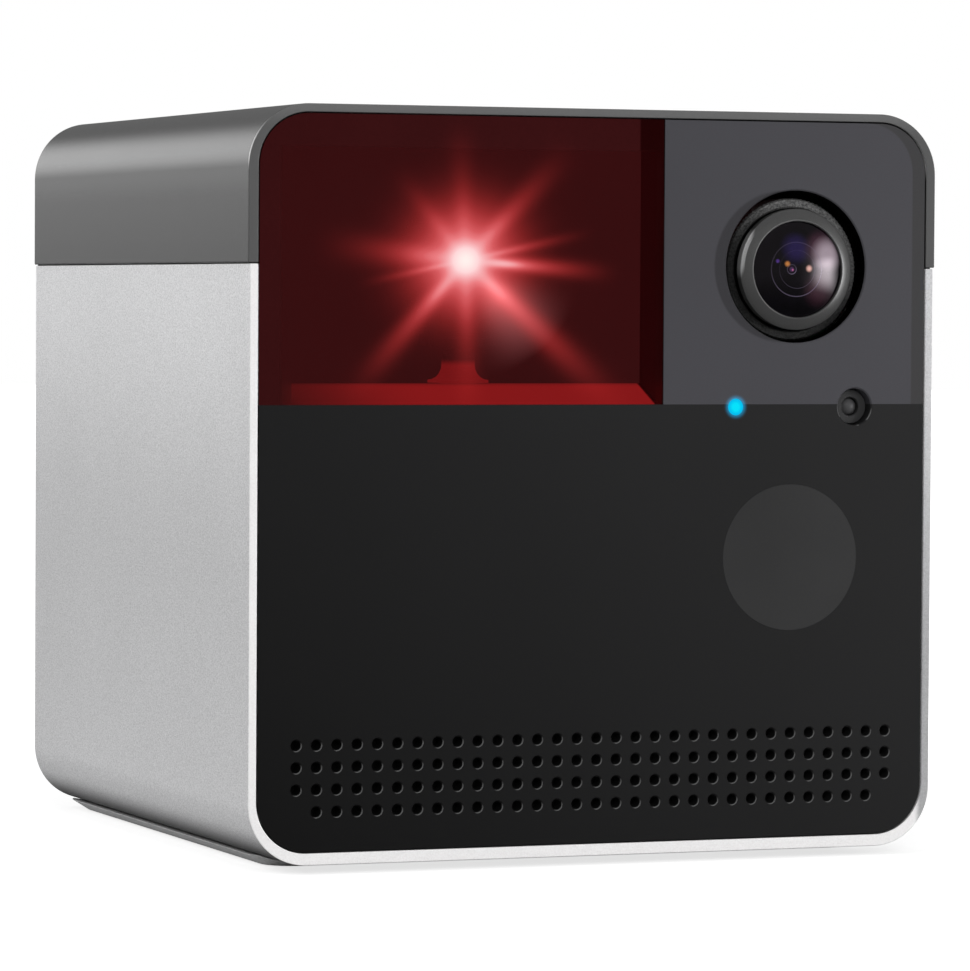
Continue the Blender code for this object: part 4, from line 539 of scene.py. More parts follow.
def make_panel():
    """The black panel round the window, with its holes."""
    left, right = -PANEL_HALF, PANEL_HALF
    outline = outline_corner(right, PANEL_TOP, 0, 1, 1)
    outline += [(WINDOW_RIGHT + SEAM, PANEL_TOP), (WINDOW_RIGHT + SEAM, SPLIT - SEAM), (left, SPLIT - SEAM)]
    outline += outline_corner(left, PANEL_BOTTOM, math.pi, -1, -1)
    outline += outline_corner(right, PANEL_BOTTOM, 3 * math.pi / 2, 1, -1)
    bm = bmesh.new()
    add_sheet(bm, outline, PANEL_FRONT, PANEL_BACK)
    panel = add_piece("panel_face", bm, "case")
    holes = bmesh.new()
    for x, z in grille_places():
        add_chamfered_hole(holes, x, z, GRILLE_HOLE_RADIUS, HOLE_SIDES)
    add_chamfered_hole(holes, LENS_X, LENS_HOLE_Z, LENS_HOLE_RADIUS, SMOOTH_SIDES)
    add_chamfered_hole(holes, SENSOR_X, LIGHT_Z, SENSOR_HOLE_RADIUS, SMALL_SIDES)
    add_hole(holes, DISC_X, DISC_Z, DISC_RADIUS)
    add_hole(holes, LIGHT_X, LIGHT_Z, LIGHT_RADIUS)
    cut(panel, holes)
    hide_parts("front_panel")


def make_disc():
    """The infrared window, flush in the panel."""
    profile = [
        (0, PANEL_FRONT),
        (DISC_RADIUS - SEAM, PANEL_FRONT),
        (DISC_RADIUS - SEAM, disc_high[1]),
        (0, disc_high[1]),
    ]
    disc = turned("infrared_disc", profile, DISC_X, DISC_Z, "case")
    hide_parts("ir_window")


def make_pane():
    """The dark red see-through pane."""
    left = window_low[0]
    outline = [(left, SPLIT + SEAM), (WINDOW_RIGHT - SEAM, SPLIT + SEAM), (WINDOW_RIGHT - SEAM, PANEL_TOP)]
    outline += outline_corner(left, PANEL_TOP, math.pi / 2, -1, 1)
    bm = bmesh.new()
    add_sheet(bm, outline, PANEL_FRONT, PANEL_BACK)
    pane = add_piece("window_pane", bm, "case")
    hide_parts("laser_window")


def make_glass():
    """The lens's front glass, a part of a sphere in front."""
    curve = (GLASS_RADIUS * GLASS_RADIUS + DOME_RISE * DOME_RISE) / (2 * DOME_RISE)
    widest = math.asin(GLASS_RADIUS / curve)
    profile = []
    for step in range(DOME_STEPS + 1):
        angle = widest * step / DOME_STEPS
        profile.append((curve * math.sin(angle), glass_low[1] + curve * (1 - math.cos(angle))))
    profile += [(GLASS_RADIUS, glass_high[1]), (0, glass_high[1])]
    glass = turned("lens_dome", profile, LENS_X, LENS_Z, "case")
    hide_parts("lens_glass")


def make_trim():
    """The trim ring round the front glass."""
    inner = GLASS_RADIUS + EDGE_GAP / 3
    front = ring_low[1]
    profile = [
        (inner, front + GAP / 3),
        (inner + GAP / 3, front),
        (RING_RADIUS - GAP, front + GAP),
        (RING_RADIUS, front + 2 * GAP),
        (RING_RADIUS, ring_high[1]),
        (inner, ring_high[1]),
    ]
    trim = turned("lens_trim", profile, LENS_X, LENS_Z, "case")
    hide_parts("lens_ring")


def make_focus_ring():
    """The textured ring round the lens, with fine knurls on its side."""
    inner = FOCUS_RADIUS - FOCUS_WALL
    front = focus_low[1]
    back = focus_high[1]
    profile = [
        (inner, front + FOCUS_EDGE),
        (inner + FOCUS_EDGE, front),
        (FOCUS_RADIUS - FOCUS_EDGE, front),
        (FOCUS_RADIUS, front + FOCUS_EDGE),
        (FOCUS_RADIUS, back),
        (inner, back),
    ]
    bm = bmesh.new()
    add_turned(bm, profile, LENS_X, LENS_Z, FOCUS_SIDES)
    share = 1 - KNURL_DEPTH / FOCUS_RADIUS
    for index, vert in enumerate(bm.verts):
        point, side = divmod(index, FOCUS_SIDES)
        if profile[point][0] == FOCUS_RADIUS and side % KNURL_SIDES < KNURL_SIDES / 2:
            vert.co.x = LENS_X + (vert.co.x - LENS_X) * share
            vert.co.z = LENS_Z + (vert.co.z - LENS_Z) * share
    ring = add_piece("focus_grip", bm, "case")
    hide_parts("focus_ring")


def make_status_light():
    """The status light's end, flush in the panel."""
    radius = LIGHT_RADIUS - SEAM
    profile = [
        (0, PANEL_FRONT),
        (radius - LIGHT_FACE_INSET, PANEL_FRONT),
        (radius, PANEL_FRONT + LIGHT_FACE_DEPTH),
        (radius, pipe_high[1]),
        (0, pipe_high[1]),
    ]
    light = turned("status_light", profile, LIGHT_X, LIGHT_Z, "case", SMALL_SIDES)
    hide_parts("status_light_pipe")


def make_seat():
    """The light sensor's cup, with its flange behind the panel."""
    bore = SENSOR_RADIUS + GAP / 4
    outer = SENSOR_HOLE_RADIUS - SEAT_GAP
    flange = (cup_high[0] - cup_low[0]) / 2
    flange_front = PANEL_BACK + GAP
    profile = [
        (bore, SENSOR_FRONT + SEAT_EDGE),
        (bore + SEAT_EDGE, SENSOR_FRONT),
        (outer, SENSOR_FRONT),
        (outer, flange_front),
        (flange, flange_front),
        (flange, flange_front + SEAT_FLANGE),
        (outer, flange_front + SEAT_FLANGE),
        (outer, cup_high[1]),
        (bore, cup_high[1]),
    ]
    seat = turned("sensor_seat", profile, SENSOR_X, LIGHT_Z, "case", SMALL_SIDES)
    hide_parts("sensor_cup")


def make_sensor():
    """The light sensor's dome."""
    profile = []
    for step in range(SENSOR_STEPS + 1):
        angle = math.pi / 2 * step / SENSOR_STEPS
        profile.append((SENSOR_RADIUS * math.sin(angle), SENSOR_FRONT + SENSOR_RISE * (1 - math.cos(angle))))
    profile += [(SENSOR_RADIUS, sensor_high[1]), (0, sensor_high[1])]
    sensor = turned("sensor_dome", profile, SENSOR_X, LIGHT_Z, "case", SMALL_SIDES)
    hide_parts("light_sensor")


# Materials


class Term:
    """A number that varies over a surface, worked out by math nodes."""

    def __init__(self, tree, socket):
        self.tree = tree
        self.socket = socket

    def maths(self, operation, *others):
        node = self.tree.nodes.new("ShaderNodeMath")
        node.operation = operation
        for place, value in enumerate((self, *others)):
            if isinstance(value, Term):
                self.tree.links.new(value.socket, node.inputs[place])
            else:
                node.inputs[place].default_value = value
        return Term(self.tree, node.outputs[0])

    def __add__(self, other):
        return self.maths("ADD", other)

    def __sub__(self, other):
        return self.maths("SUBTRACT", other)

    def __mul__(self, other):
        return self.maths("MULTIPLY", other)

    def fade(self, start, end, low=0.0, high=1.0, kind="SMOOTHSTEP"):
        """Runs from low at start to high at end."""
        node = self.tree.nodes.new("ShaderNodeMapRange")
        node.interpolation_type = kind
        self.tree.links.new(self.socket, node.inputs["Value"])
        node.inputs["From Min"].default_value = start
        node.inputs["From Max"].default_value = end
        node.inputs["To Min"].default_value = low
        node.inputs["To Max"].default_value = high
        return Term(self.tree, node.outputs["Result"])

    def line(self, start, end, low=0.0, high=1.0):
        """Runs straight from low at start to high at end."""
        return self.fade(start, end, low, high, "LINEAR")

    def vary(self, share, low=0.2):
        """Turns noise into a factor that strays from 1 by a share at most."""
        return self.line(low, 1 - low, 1 - share, 1 + share)

    def beyond(self, limit):
        """1 where the number is over a limit, and 0 elsewhere."""
        return self.maths("GREATER_THAN", limit)


def start_material(name, **settings):
    """A new Principled material with some of its inputs set."""
    material = bpy.data.materials.new(name)
    material.use_nodes = True
    tree = material.node_tree
    shader = tree.nodes["Principled BSDF"]
    for socket, value in settings.items():
        shader.inputs[socket.replace("_", " ")].default_value = value
    return material, tree, shader


def places(tree):
    """Object coordinates as a vector and as three numbers."""
    coordinates = tree.nodes.new("ShaderNodeTexCoord")
    split = tree.nodes.new("ShaderNodeSeparateXYZ")
    tree.links.new(coordinates.outputs["Object"], split.inputs[0])
    return coordinates.outputs["Object"], [Term(tree, split.outputs[axis]) for axis in range(3)]


def noise(tree, vector, scale, detail=3.0, rough=0.55):
    """Noise over the surface, mostly between 0.2 and 0.8."""
    node = tree.nodes.new("ShaderNodeTexNoise")
    node.inputs["Scale"].default_value = scale
    node.inputs["Detail"].default_value = detail
    node.inputs["Roughness"].default_value = rough
    tree.links.new(vector, node.inputs["Vector"])
    return Term(tree, node.outputs["Fac"])


def mix(tree, share, first, second):
    """A colour between first and second; each is a colour or a node's output."""
    node = tree.nodes.new("ShaderNodeMix")
    node.data_type = "RGBA"
    tree.links.new(share.socket, node.inputs["Factor"])
    for socket, value in ((node.inputs[6], first), (node.inputs[7], second)):
        if isinstance(value, bpy.types.NodeSocket):
            tree.links.new(value, socket)
        else:
            socket.default_value = (*value, 1)
    return node.outputs[2]


def scaled(tree, colour, share):
    """A colour made lighter or darker by a number that varies."""
    node = tree.nodes.new("ShaderNodeVectorMath")
    node.operation = "SCALE"
    if isinstance(colour, bpy.types.NodeSocket):
        tree.links.new(colour, node.inputs[0])
    else:
        node.inputs[0].default_value = colour
    tree.links.new(share.socket, node.inputs["Scale"])
    return node.outputs[0]


def paint(tree, shader, colour, tone):
    """A shader's colour, made lighter or darker by a number that varies."""
    tree.links.new(scaled(tree, colour, tone), shader.inputs["Base Color"])


def relief(tree, shader, height, depth):
    """Fine relief of a depth, from a number that varies."""
    bump = tree.nodes.new("ShaderNodeBump")
    bump.inputs["Distance"].default_value = depth
    bump.inputs["Strength"].default_value = 1.0
    tree.links.new(height.socket, bump.inputs["Height"])
    tree.links.new(bump.outputs[0], shader.inputs["Normal"])


def distance(x, z, centre_x, centre_z):
    """How far a place is from a centre, across two axes."""
    across = x - centre_x
    up = z - centre_z
    return (across * across + up * up).maths("SQRT")


def plain_finish(name, colour, roughness, metallic=0.0, grain=6000.0, speckle=0.08, depth=0.00001):
    """A moulded or machined surface: fine grain, a slow drift of tone and uneven gloss."""
    material, tree, shader = start_material(name, Metallic=metallic)
    vector, _ = places(tree)
    fine = noise(tree, vector, grain)
    slow = noise(tree, vector, 60.0, 2.0)
    tone = fine.vary(speckle) * slow.vary(0.03, 0.3)
    paint(tree, shader, colour, tone)
    gloss = slow.line(0.3, 0.7, roughness - 0.06, roughness + 0.06)
    tree.links.new(gloss.socket, shader.inputs["Roughness"])
    relief(tree, shader, fine, depth)
    return material


def lower_panel(tree, x, y, z):
    """Black with a painted reflection that makes it lighter towards the upper right, and a painted highlight
    on the lower right of each speaker hole's chamfer.
    """
    across = x.line(-0.04, 0.04)
    up = z.line(0.0, 0.05)
    # painted reflection: lighter towards the upper right
    black = mix(tree, across * 0.6 + up * 0.4, (0.0065, 0.0065, 0.0066), (0.0235, 0.0235, 0.024))
    chamfer = y.fade(PANEL_FRONT + 0.2 * HOLE_CHAMFER, PANEL_FRONT + 0.4 * HOLE_CHAMFER)
    chamfer = chamfer * y.fade(PANEL_FRONT + 1.3 * HOLE_CHAMFER, PANEL_FRONT + 1.1 * HOLE_CHAMFER)
    across_hole = (x * (1 / GRILLE_PITCH) + 0.5).maths("FRACT") - 0.5
    up_hole = ((z - GRILLE_TOP) * (1 / GRILLE_ROW_PITCH) + 0.5).maths("FRACT") - 0.5
    # painted highlight on the lower right side of each chamfer
    facing = (across_hole - up_hole).fade(0.05, 0.3)
    return mix(tree, chamfer * facing, black, (0.12, 0.12, 0.12))


def lens_field(tree, x, z):
    """Grey round the lens, whose backing ends in a strip at the right and a shade in the lens hole."""
    grey = mix(tree, x.line(-0.04, 0.04), (0.052, 0.051, 0.058), (0.07, 0.069, 0.077))
    shifted = x + BACKING_SHIFT
    corner_x = PANEL_HALF - CORNER_RADIUS
    corner_z = PANEL_TOP - CORNER_RADIUS
    straight = shifted.fade(PANEL_HALF - BACKING_BLUR, PANEL_HALF + BACKING_BLUR)
    corner = distance(shifted, z, corner_x, corner_z)
    corner = corner.fade(CORNER_RADIUS - BACKING_BLUR, CORNER_RADIUS + BACKING_BLUR)
    corner = corner * (shifted.beyond(corner_x) * z.beyond(corner_z))
    grey = mix(tree, straight.maths("MAXIMUM", corner), grey, (0.054, 0.053, 0.055))
    # painted shade: a darker crescent on the left of the lens hole
    away = distance(shifted, z, LENS_X, LENS_HOLE_Z)
    shade = away.fade(LENS_HOLE_RADIUS + SHADE_EDGE[0], LENS_HOLE_RADIUS + SHADE_EDGE[1])
    return mix(tree, shade * 0.9, grey, (0.04, 0.039, 0.043))


def panel_finish():
    """Satin black below, a grey field round the lens, and the glow of the status light."""
    material, tree, shader = start_material("panel_black", Roughness=0.32, Specular_IOR_Level=0.12)
    vector, (x, y, z) = places(tree)
    fine = noise(tree, vector, 5000.0)
    slow = noise(tree, vector, 35.0, 2.0)
    above = z.beyond(SPLIT)
    colour = mix(tree, above, lower_panel(tree, x, y, z), lens_field(tree, x, z))
    # painted shade: the lens hole's inner wall is painted black
    wall = distance(x, z, LENS_X, LENS_HOLE_Z).maths("LESS_THAN", LENS_HOLE_RADIUS + SEAM)
    wall = wall * y.beyond(PANEL_FRONT + HOLE_CHAMFER)
    beside_pane = above * x.fade(WINDOW_RIGHT + EDGE_GAP, WINDOW_RIGHT + 4 * SEAM)
    for share in (wall, beside_pane):
        colour = mix(tree, share, colour, (0.0, 0.0, 0.0))
    tone = fine.vary(0.05) * slow.vary(0.03, 0.3)
    paint(tree, shader, colour, tone)
    halo = distance(x, z, LIGHT_X, LIGHT_Z).fade(*HALO_REACH, 1, 0)
    shader.inputs["Emission Color"].default_value = (0.0, 0.33, 0.62, 1)
    tree.links.new((halo * halo * HALO_BRIGHT).socket, shader.inputs["Emission Strength"])
    relief(tree, shader, fine, 0.000004)
    return material


def infrared_finish():
    """Black plastic that lets infrared through."""
    material, tree, shader = start_material("infrared_black", Roughness=0.36, Specular_IOR_Level=0.12)
    vector, (x, _, _) = places(tree)
    fine = noise(tree, vector, 3000.0)
    slow = noise(tree, vector, 120.0, 2.0)
    colour = mix(tree, x.fade(disc_low[0], disc_high[0]), (0.033, 0.033, 0.0335), (0.038, 0.038, 0.0385))
    tone = fine.vary(0.04) * slow.vary(0.04, 0.3)
    paint(tree, shader, colour, tone)
    relief(tree, shader, fine, 0.000003)
    return material


def stretched(tree, vector, shares):
    """Coordinates scaled by a share along each axis."""
    node = tree.nodes.new("ShaderNodeVectorMath")
    node.operation = "MULTIPLY"
    node.inputs[1].default_value = shares
    tree.links.new(vector, node.inputs[0])
    return node.outputs[0]


def silver_finish():
    """Bead-blasted, anodised aluminium with a bright cut rim, dimmer on its right by painted shade; its sides
    carry painted light towards the top and painted shade along the bottom rounding.
    """
    material, tree, shader = start_material("blasted_silver", Metallic=0.15)
    vector, (x, y, z) = places(tree)
    fine = noise(tree, stretched(tree, vector, (1.0, 0.5, 1.0)), 6000.0, 2.0, 0.75)
    grit = noise(tree, vector, 11000.0, 2.0, 0.6)
    slow = noise(tree, vector, 45.0, 2.0)
    tone = fine.vary(0.26, 0.25) * slow.vary(0.02, 0.3)
    # painted light and shade by height: lighter towards the top and just above the bottom, and a painted
    # shade that darkens the bottom rounding
    tone = tone * z.fade(0.03, CAP_LOW, 0.82, 1.06) * z.fade(0.0, 0.045, 1.14, 1.0)
    tone = tone * z.fade(CASE_LOW, CASE_LOW + 0.62 * CASE_RADIUS, 0.06, 1.0)
    tone = tone * z.fade(CASE_LOW + 0.2 * CASE_RADIUS, CASE_LOW + CASE_RADIUS, 1.2, 1.0)
    blank = scaled(tree, (0.8, 0.8, 0.81), tone)
    bright = scaled(tree, (0.985, 0.975, 0.975), fine.vary(0.07, 0.25))
    # painted shade: the rim's right side is dimmer, and it is painted lighter towards its top
    dim = scaled(tree, (0.5, 0.5, 0.51), fine.vary(0.18, 0.25))
    dim = scaled(tree, dim, z.fade(0.02, 0.055, 0.87, 1.3))
    rim = mix(tree, x.fade(CASE_HALF - 2 * RIM, CASE_HALF - RIM), bright, dim)
    front = y.fade(FRONT + EDGE_ROUND, FRONT + 0.3 * EDGE_ROUND)
    tree.links.new(mix(tree, front, blank, rim), shader.inputs["Base Color"])
    tree.links.new(grit.line(0.2, 0.8, 0.38, 0.5).socket, shader.inputs["Roughness"])
    relief(tree, shader, fine + grit * 0.5, 0.000012)
    return material


def cap_finish():
    """Satin grey plastic with a front rim painted lighter at the rounded top corners, a painted highlight and
    a painted dark line along the front edge, and a painted sheen band on the rounding.
    """
    material, tree, shader = start_material("cap_satin", Specular_IOR_Level=0.45)
    vector, (_, y, z) = places(tree)
    fine = noise(tree, vector, 7000.0)
    slow = noise(tree, vector, 45.0, 2.0)
    tone = fine.vary(0.04) * slow.vary(0.03, 0.3)
    # painted light: the front rim is lighter towards the top
    rim = z.fade(CAP_TOP - 0.4 * CAP_RADIUS, CAP_TOP, 0.096, 0.136)
    # painted highlight on the front edge's rounding, and a painted dark line along its straight part
    painted_glint_and_dark_line = z.fade(CAP_TOP - 1.1 * CAP_RADIUS, CAP_TOP - 0.8 * CAP_RADIUS, 0.3, 6.0)
    painted_glint_and_dark_line = painted_glint_and_dark_line * z.fade(CAP_TOP - 0.6 * CAP_RADIUS, CAP_TOP - 0.1 * CAP_RADIUS, 1.0, 0.1)
    edge = y.fade(FRONT + 3.5 * EDGE_ROUND, FRONT + 2.5 * EDGE_ROUND)
    # painted sheen: a lighter band low on the rounding
    painted_sheen_band = z.fade(CAP_TOP - 1.5 * CAP_RADIUS, CAP_TOP - 1.05 * CAP_RADIUS)
    painted_sheen_band = painted_sheen_band * z.fade(CAP_TOP - 0.6 * CAP_RADIUS, CAP_TOP - 0.95 * CAP_RADIUS)
    skin = (edge * (painted_glint_and_dark_line - 1.0) + 1.0) * (painted_sheen_band * 0.035 + 0.066)
    front = y.fade(FRONT + EDGE_ROUND, FRONT + 0.3 * EDGE_ROUND)
    level = front * rim + front.line(0, 1, 1, 0) * skin
    paint(tree, shader, (1.0, 1.0, 1.005), tone * level)
    tree.links.new(slow.line(0.2, 0.8, 0.25, 0.27).socket, shader.inputs["Roughness"])
    relief(tree, shader, fine, 0.000005)
    return material


def turned_axes(across, up, angle):
    """Coordinates along and aside from a direction at an angle in degrees."""
    turn = math.radians(angle)
    along = across * math.cos(turn) + up * math.sin(turn)
    aside = up * math.cos(turn) - across * math.sin(turn)
    return along, aside


def bell(number):
    """1 at zero, falling off on both sides."""
    return (number * number * -1.0).maths("EXPONENT")


def star_light(x, z):
    """How bright the laser's star is over the pane: a wide glow, a hot middle, rays and a haze."""
    across = (x - STAR_X) * math.cos(CAMERA_YAW)
    up = z - STAR_Z
    square = across * across + up * up
    wide, middle = [(square * (-1 / reach ** 2)).maths("EXPONENT") * bright for bright, reach in STAR_GLOWS]
    star = wide + middle
    for angle, length, width, bright in RAYS:
        along, aside = turned_axes(across, up, angle)
        left = along.line(0, length, 1, 0)
        reach = left * left * along.fade(*RAY_RISE)
        core = aside.maths("DIVIDE", along.line(0, length, width * 0.5, width * 1.4))
        star = star + reach * bell(core) * bright
    along, aside = turned_axes(across, up, HAZE_ANGLE)
    spread = aside.maths("DIVIDE", along.maths("MAXIMUM", HAZE_START) * HAZE_SPREAD)
    haze = bell(spread) * along.fade(*HAZE_RISE)
    haze = haze * square.maths("SQRT").line(0, HAZE_LENGTH, HAZE_BRIGHT, 0)
    return star, haze


def star_colour(tree, star, haze):
    """The star's colour from its brightness, with the haze laid over it."""
    ramp = tree.nodes.new("ShaderNodeValToRGB")
    stops = ramp.color_ramp.elements
    for place, _ in STAR_COLOURS[1:-1]:
        stops.new(place)
    for stop, (_, colour) in zip(stops, STAR_COLOURS):
        stop.color = (*colour, 1)
    tree.links.new((star * (1 / STAR_FULL)).socket, ramp.inputs[0])
    light = tree.nodes.new("ShaderNodeVectorMath")
    tree.links.new(ramp.outputs[0], light.inputs[0])
    tree.links.new(scaled(tree, HAZE_COLOUR, haze), light.inputs[1])
    return light.outputs[0]


def pane_finish():
    """Dark red acrylic with the laser's star painted on it as a glow, printed solid along its left and top
    edge.
    """
    material, tree, shader = start_material("red_pane", Roughness=0.08, Specular_IOR_Level=0.03)
    vector, (x, y, z) = places(tree)
    slow = noise(tree, vector, 55.0, 2.0)
    fine = noise(tree, vector, 3500.0, 2.0)
    front = y.fade(PANEL_FRONT + GAP, PANEL_FRONT + EDGE_GAP)
    # painted light: the laser's star glows from the pane's front face
    tree.links.new(star_colour(tree, *star_light(x, z)), shader.inputs["Emission Color"])
    tree.links.new((front * (1 / PANE_SHOWN)).socket, shader.inputs["Emission Strength"])
    border = x.fade(-PANEL_HALF + BORDER, -PANEL_HALF + 0.8 * BORDER)
    border = border.maths("MAXIMUM", z.fade(PANEL_TOP - BORDER_TOP, PANEL_TOP - 0.9 * BORDER_TOP))
    dark_end = x.fade(WINDOW_RIGHT + DARK_END[0], WINDOW_RIGHT + DARK_END[1])
    printed = mix(tree, dark_end, (0.037, 0.0055, 0.006), (0.0137, 0.001, 0.0012))
    colour = mix(tree, border, (0.019, 0.0013, 0.0016), printed)
    tone = slow.vary(0.07, 0.3) * fine.vary(0.07)
    paint(tree, shader, colour, tone)
    tree.links.new((front * border.line(0, 1, PANE_SHOWN, 1.0)).socket, shader.inputs["Alpha"])
    material.surface_render_method = "DITHERED"
    return material


def painted_glow_finish(name, speckle, glow_at):
    """Dark plastic inside the window, with the laser's red light painted on all over as a glow worked out
    from x and z.
    """
    material, tree, shader = start_material(
        name, Roughness=0.6, Specular_IOR_Level=0.2, Emission_Strength=1.0
    )
    vector, (x, _, z) = places(tree)
    fine = noise(tree, vector, 4000.0)
    tone = fine.vary(speckle)
    paint(tree, shader, CHAMBER_DIM, tone)
    tree.links.new(scaled(tree, glow_at(tree, x, z), tone), shader.inputs["Emission Color"])
    relief(tree, shader, fine, 0.000008)
    return material


def chamber_finish(name, glow):
    """A part inside the window: one glow up to the pedestal's top, and the wall's above it."""

    def glow_at(tree, _, z):
        return mix(tree, z.fade(PEDESTAL_TOP - 4 * GAP, PEDESTAL_TOP - GAP), glow, WALL_GLOW)

    return painted_glow_finish(name, 0.07, glow_at)


def funnel_glow(tree, x, z):
    """Painted light and shade: a bright red painted glow on the floor that dims to the left, a nearly black
    right wall in painted shade, and dim edges.
    """
    lit = mix(tree, x.fade(*FLOOR_DIM), (0.2, 0.017, 0.017), (0.72, 0.026, 0.028))
    lit = mix(tree, x.fade(*FLOOR_END), lit, (0.07, 0.013, 0.013))
    floor = z.fade(SPLIT + FLOOR_EDGE[0], SPLIT + FLOOR_EDGE[1])
    wall = x.fade(WINDOW_RIGHT + WALL_EDGE[0], WINDOW_RIGHT + WALL_EDGE[1])
    return mix(tree, wall, mix(tree, floor, WALL_GLOW, lit), (0.006, 0.0, 0.0004))


def light_finish():
    """The lit end of the status light."""
    material, tree, shader = start_material(
        "cyan_light",
        Base_Color=(0.0, 0.01, 0.01, 1),
        Roughness=0.3,
        Specular_IOR_Level=0.1,
        Emission_Strength=1.0,
    )
    _, (x, _, z) = places(tree)
    away = distance(x, z, LIGHT_X, LIGHT_Z)
    colour = mix(tree, away.fade(0.0003, HALO_REACH[0]), (0.0, 0.74, 0.95), (0.0, 0.5, 0.85))
    tree.links.new(colour, shader.inputs["Emission Color"])
    return material


def dome_finish():
    """The dark, coated front glass, painted with the edges and tints of the elements behind it, and with
    painted reflections and a painted highlight.
    """
    material, tree, shader = start_material(
        "coated_glass", Roughness=0.05, Specular_IOR_Level=0.9, Specular_Tint=(1.0, 0.88, 0.96, 1)
    )
    vector, (x, _, z) = places(tree)
    middle = LENS_X + DOME_SHIFT
    slow = noise(tree, vector, 700.0, 2.0)
    tints_and_reflections = mix(tree, slow.fade(0.3, 0.7), (0.0012, 0.0012, 0.0016), (0.0022, 0.002, 0.003))
    for across, up, reach, colour in DOME_TINTS_AND_REFLECTIONS:
        near = distance(x, z, middle + across, LENS_Z + up)
        tints_and_reflections = mix(tree, near.fade(reach, 0.2 * reach), tints_and_reflections, colour)
    lower = (x - middle) * 0.6 - (z - LENS_Z) * 0.8
    for radius, width, bright, shift in DOME_EDGES:
        ring = distance(x, z, middle + shift, LENS_Z)
        line = (ring - radius).maths("ABSOLUTE").fade(0.4 * width, width, 1, 0)
        # painted light: the edge lines are brighter towards the lower right
        share = line * lower.fade(-radius, radius, 0.25, 1.0) * bright
        tints_and_reflections = mix(tree, share, tints_and_reflections, (0.16, 0.13, 0.2))
    tree.links.new(tints_and_reflections, shader.inputs["Base Color"])
    return material


def trim_finish():
    """Satin dark metal whose turned edges carry painted highlights, bright on the left side."""
    material, tree, shader = start_material("trim_metal", Roughness=0.28, Metallic=0.75)
    vector, (x, _, z) = places(tree)
    fine = noise(tree, vector, 9000.0)
    away = distance(x, z, LENS_X, LENS_Z)
    # painted highlights: the inner and outer turned edges are bright towards the left
    leftwards = (x - LENS_X) * -1.0 + (z - LENS_Z) * 0.3
    inside = away.fade(GLASS_RADIUS + 0.8 * GAP, GLASS_RADIUS + 0.5 * GAP)
    inside = inside * leftwards.fade(-0.5 * GLASS_RADIUS, 0.6 * GLASS_RADIUS, 0.1, 1.0)
    outside = away.fade(RING_RADIUS - 1.3 * GAP, RING_RADIUS - GAP)
    outside = outside * leftwards.fade(0.93 * RING_RADIUS, RING_RADIUS)
    colour = mix(tree, inside, (0.2, 0.2, 0.2), (0.55, 0.55, 0.55))
    colour = mix(tree, outside, colour, (0.85, 0.85, 0.85))
    paint(tree, shader, colour, fine.vary(0.1))
    relief(tree, shader, fine, 0.000003)
    return material


def grip_finish():
    """Sand-blasted black ring, painted brighter towards its upper right and darker towards its lower left, as
    painted light and shade.
    """
    material, tree, shader = start_material("grip_sand", Roughness=0.5, Metallic=0.5)
    vector, (x, _, z) = places(tree)
    fine = noise(tree, vector, 4200.0)
    # painted light and shade: brighter towards the upper right, darker towards the lower left
    painted_shading = ((x - LENS_X) * 0.5 + (z - LENS_Z) * 0.87).fade(-0.003, 0.006, 0.022, 0.13)
    tone = fine.line(0.3, 0.7, 0.3, 1.9) * painted_shading
    paint(tree, shader, (1.0, 1.0, 1.0), tone)
    relief(tree, shader, fine, 0.00006)
    return material


def board_finish():
    """Green circuit board with copper tracks under the lacquer and small pads."""
    material, tree, shader = start_material("circuit_green", Roughness=0.35)
    vector, _ = places(tree)
    bricks = tree.nodes.new("ShaderNodeTexBrick")
    bricks.inputs["Scale"].default_value = 420.0
    bricks.inputs["Mortar Size"].default_value = 0.03
    tree.links.new(vector, bricks.inputs["Vector"])
    cells = tree.nodes.new("ShaderNodeTexVoronoi")
    cells.inputs["Scale"].default_value = 500.0
    tree.links.new(vector, cells.inputs["Vector"])
    pads = Term(tree, cells.outputs["Distance"]).fade(0.16, 0.2, 1, 0)
    tracks = Term(tree, bricks.outputs["Fac"])
    colour = mix(tree, tracks * 0.6, (0.006, 0.055, 0.02), (0.03, 0.16, 0.06))
    colour = mix(tree, pads, colour, (0.5, 0.36, 0.12))
    tree.links.new(colour, shader.inputs["Base Color"])
    tree.links.new((pads * 0.9).socket, shader.inputs["Metallic"])
    relief(tree, shader, tracks + pads, 0.00002)
    return material


def cloth_finish():
    """Woven black cloth behind the speaker holes."""
    material, tree, shader = start_material("speaker_cloth", Roughness=0.9)
    _, (x, _, z) = places(tree)
    threads = (x * 18000.0).maths("SINE") * (z * 18000.0).maths("SINE")
    tone = threads.line(-1, 1, 0.5, 1.5)
    paint(tree, shader, (0.006, 0.006, 0.006), tone)
    relief(tree, shader, threads, 0.00003)
    return material


def dress(material, *names):
    """Puts a material on pieces and on the frame's own nodes."""
    for name in names:
        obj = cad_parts.get(name) or bpy.data.objects[name]
        obj.data.materials.clear()
        obj.data.materials.append(material)


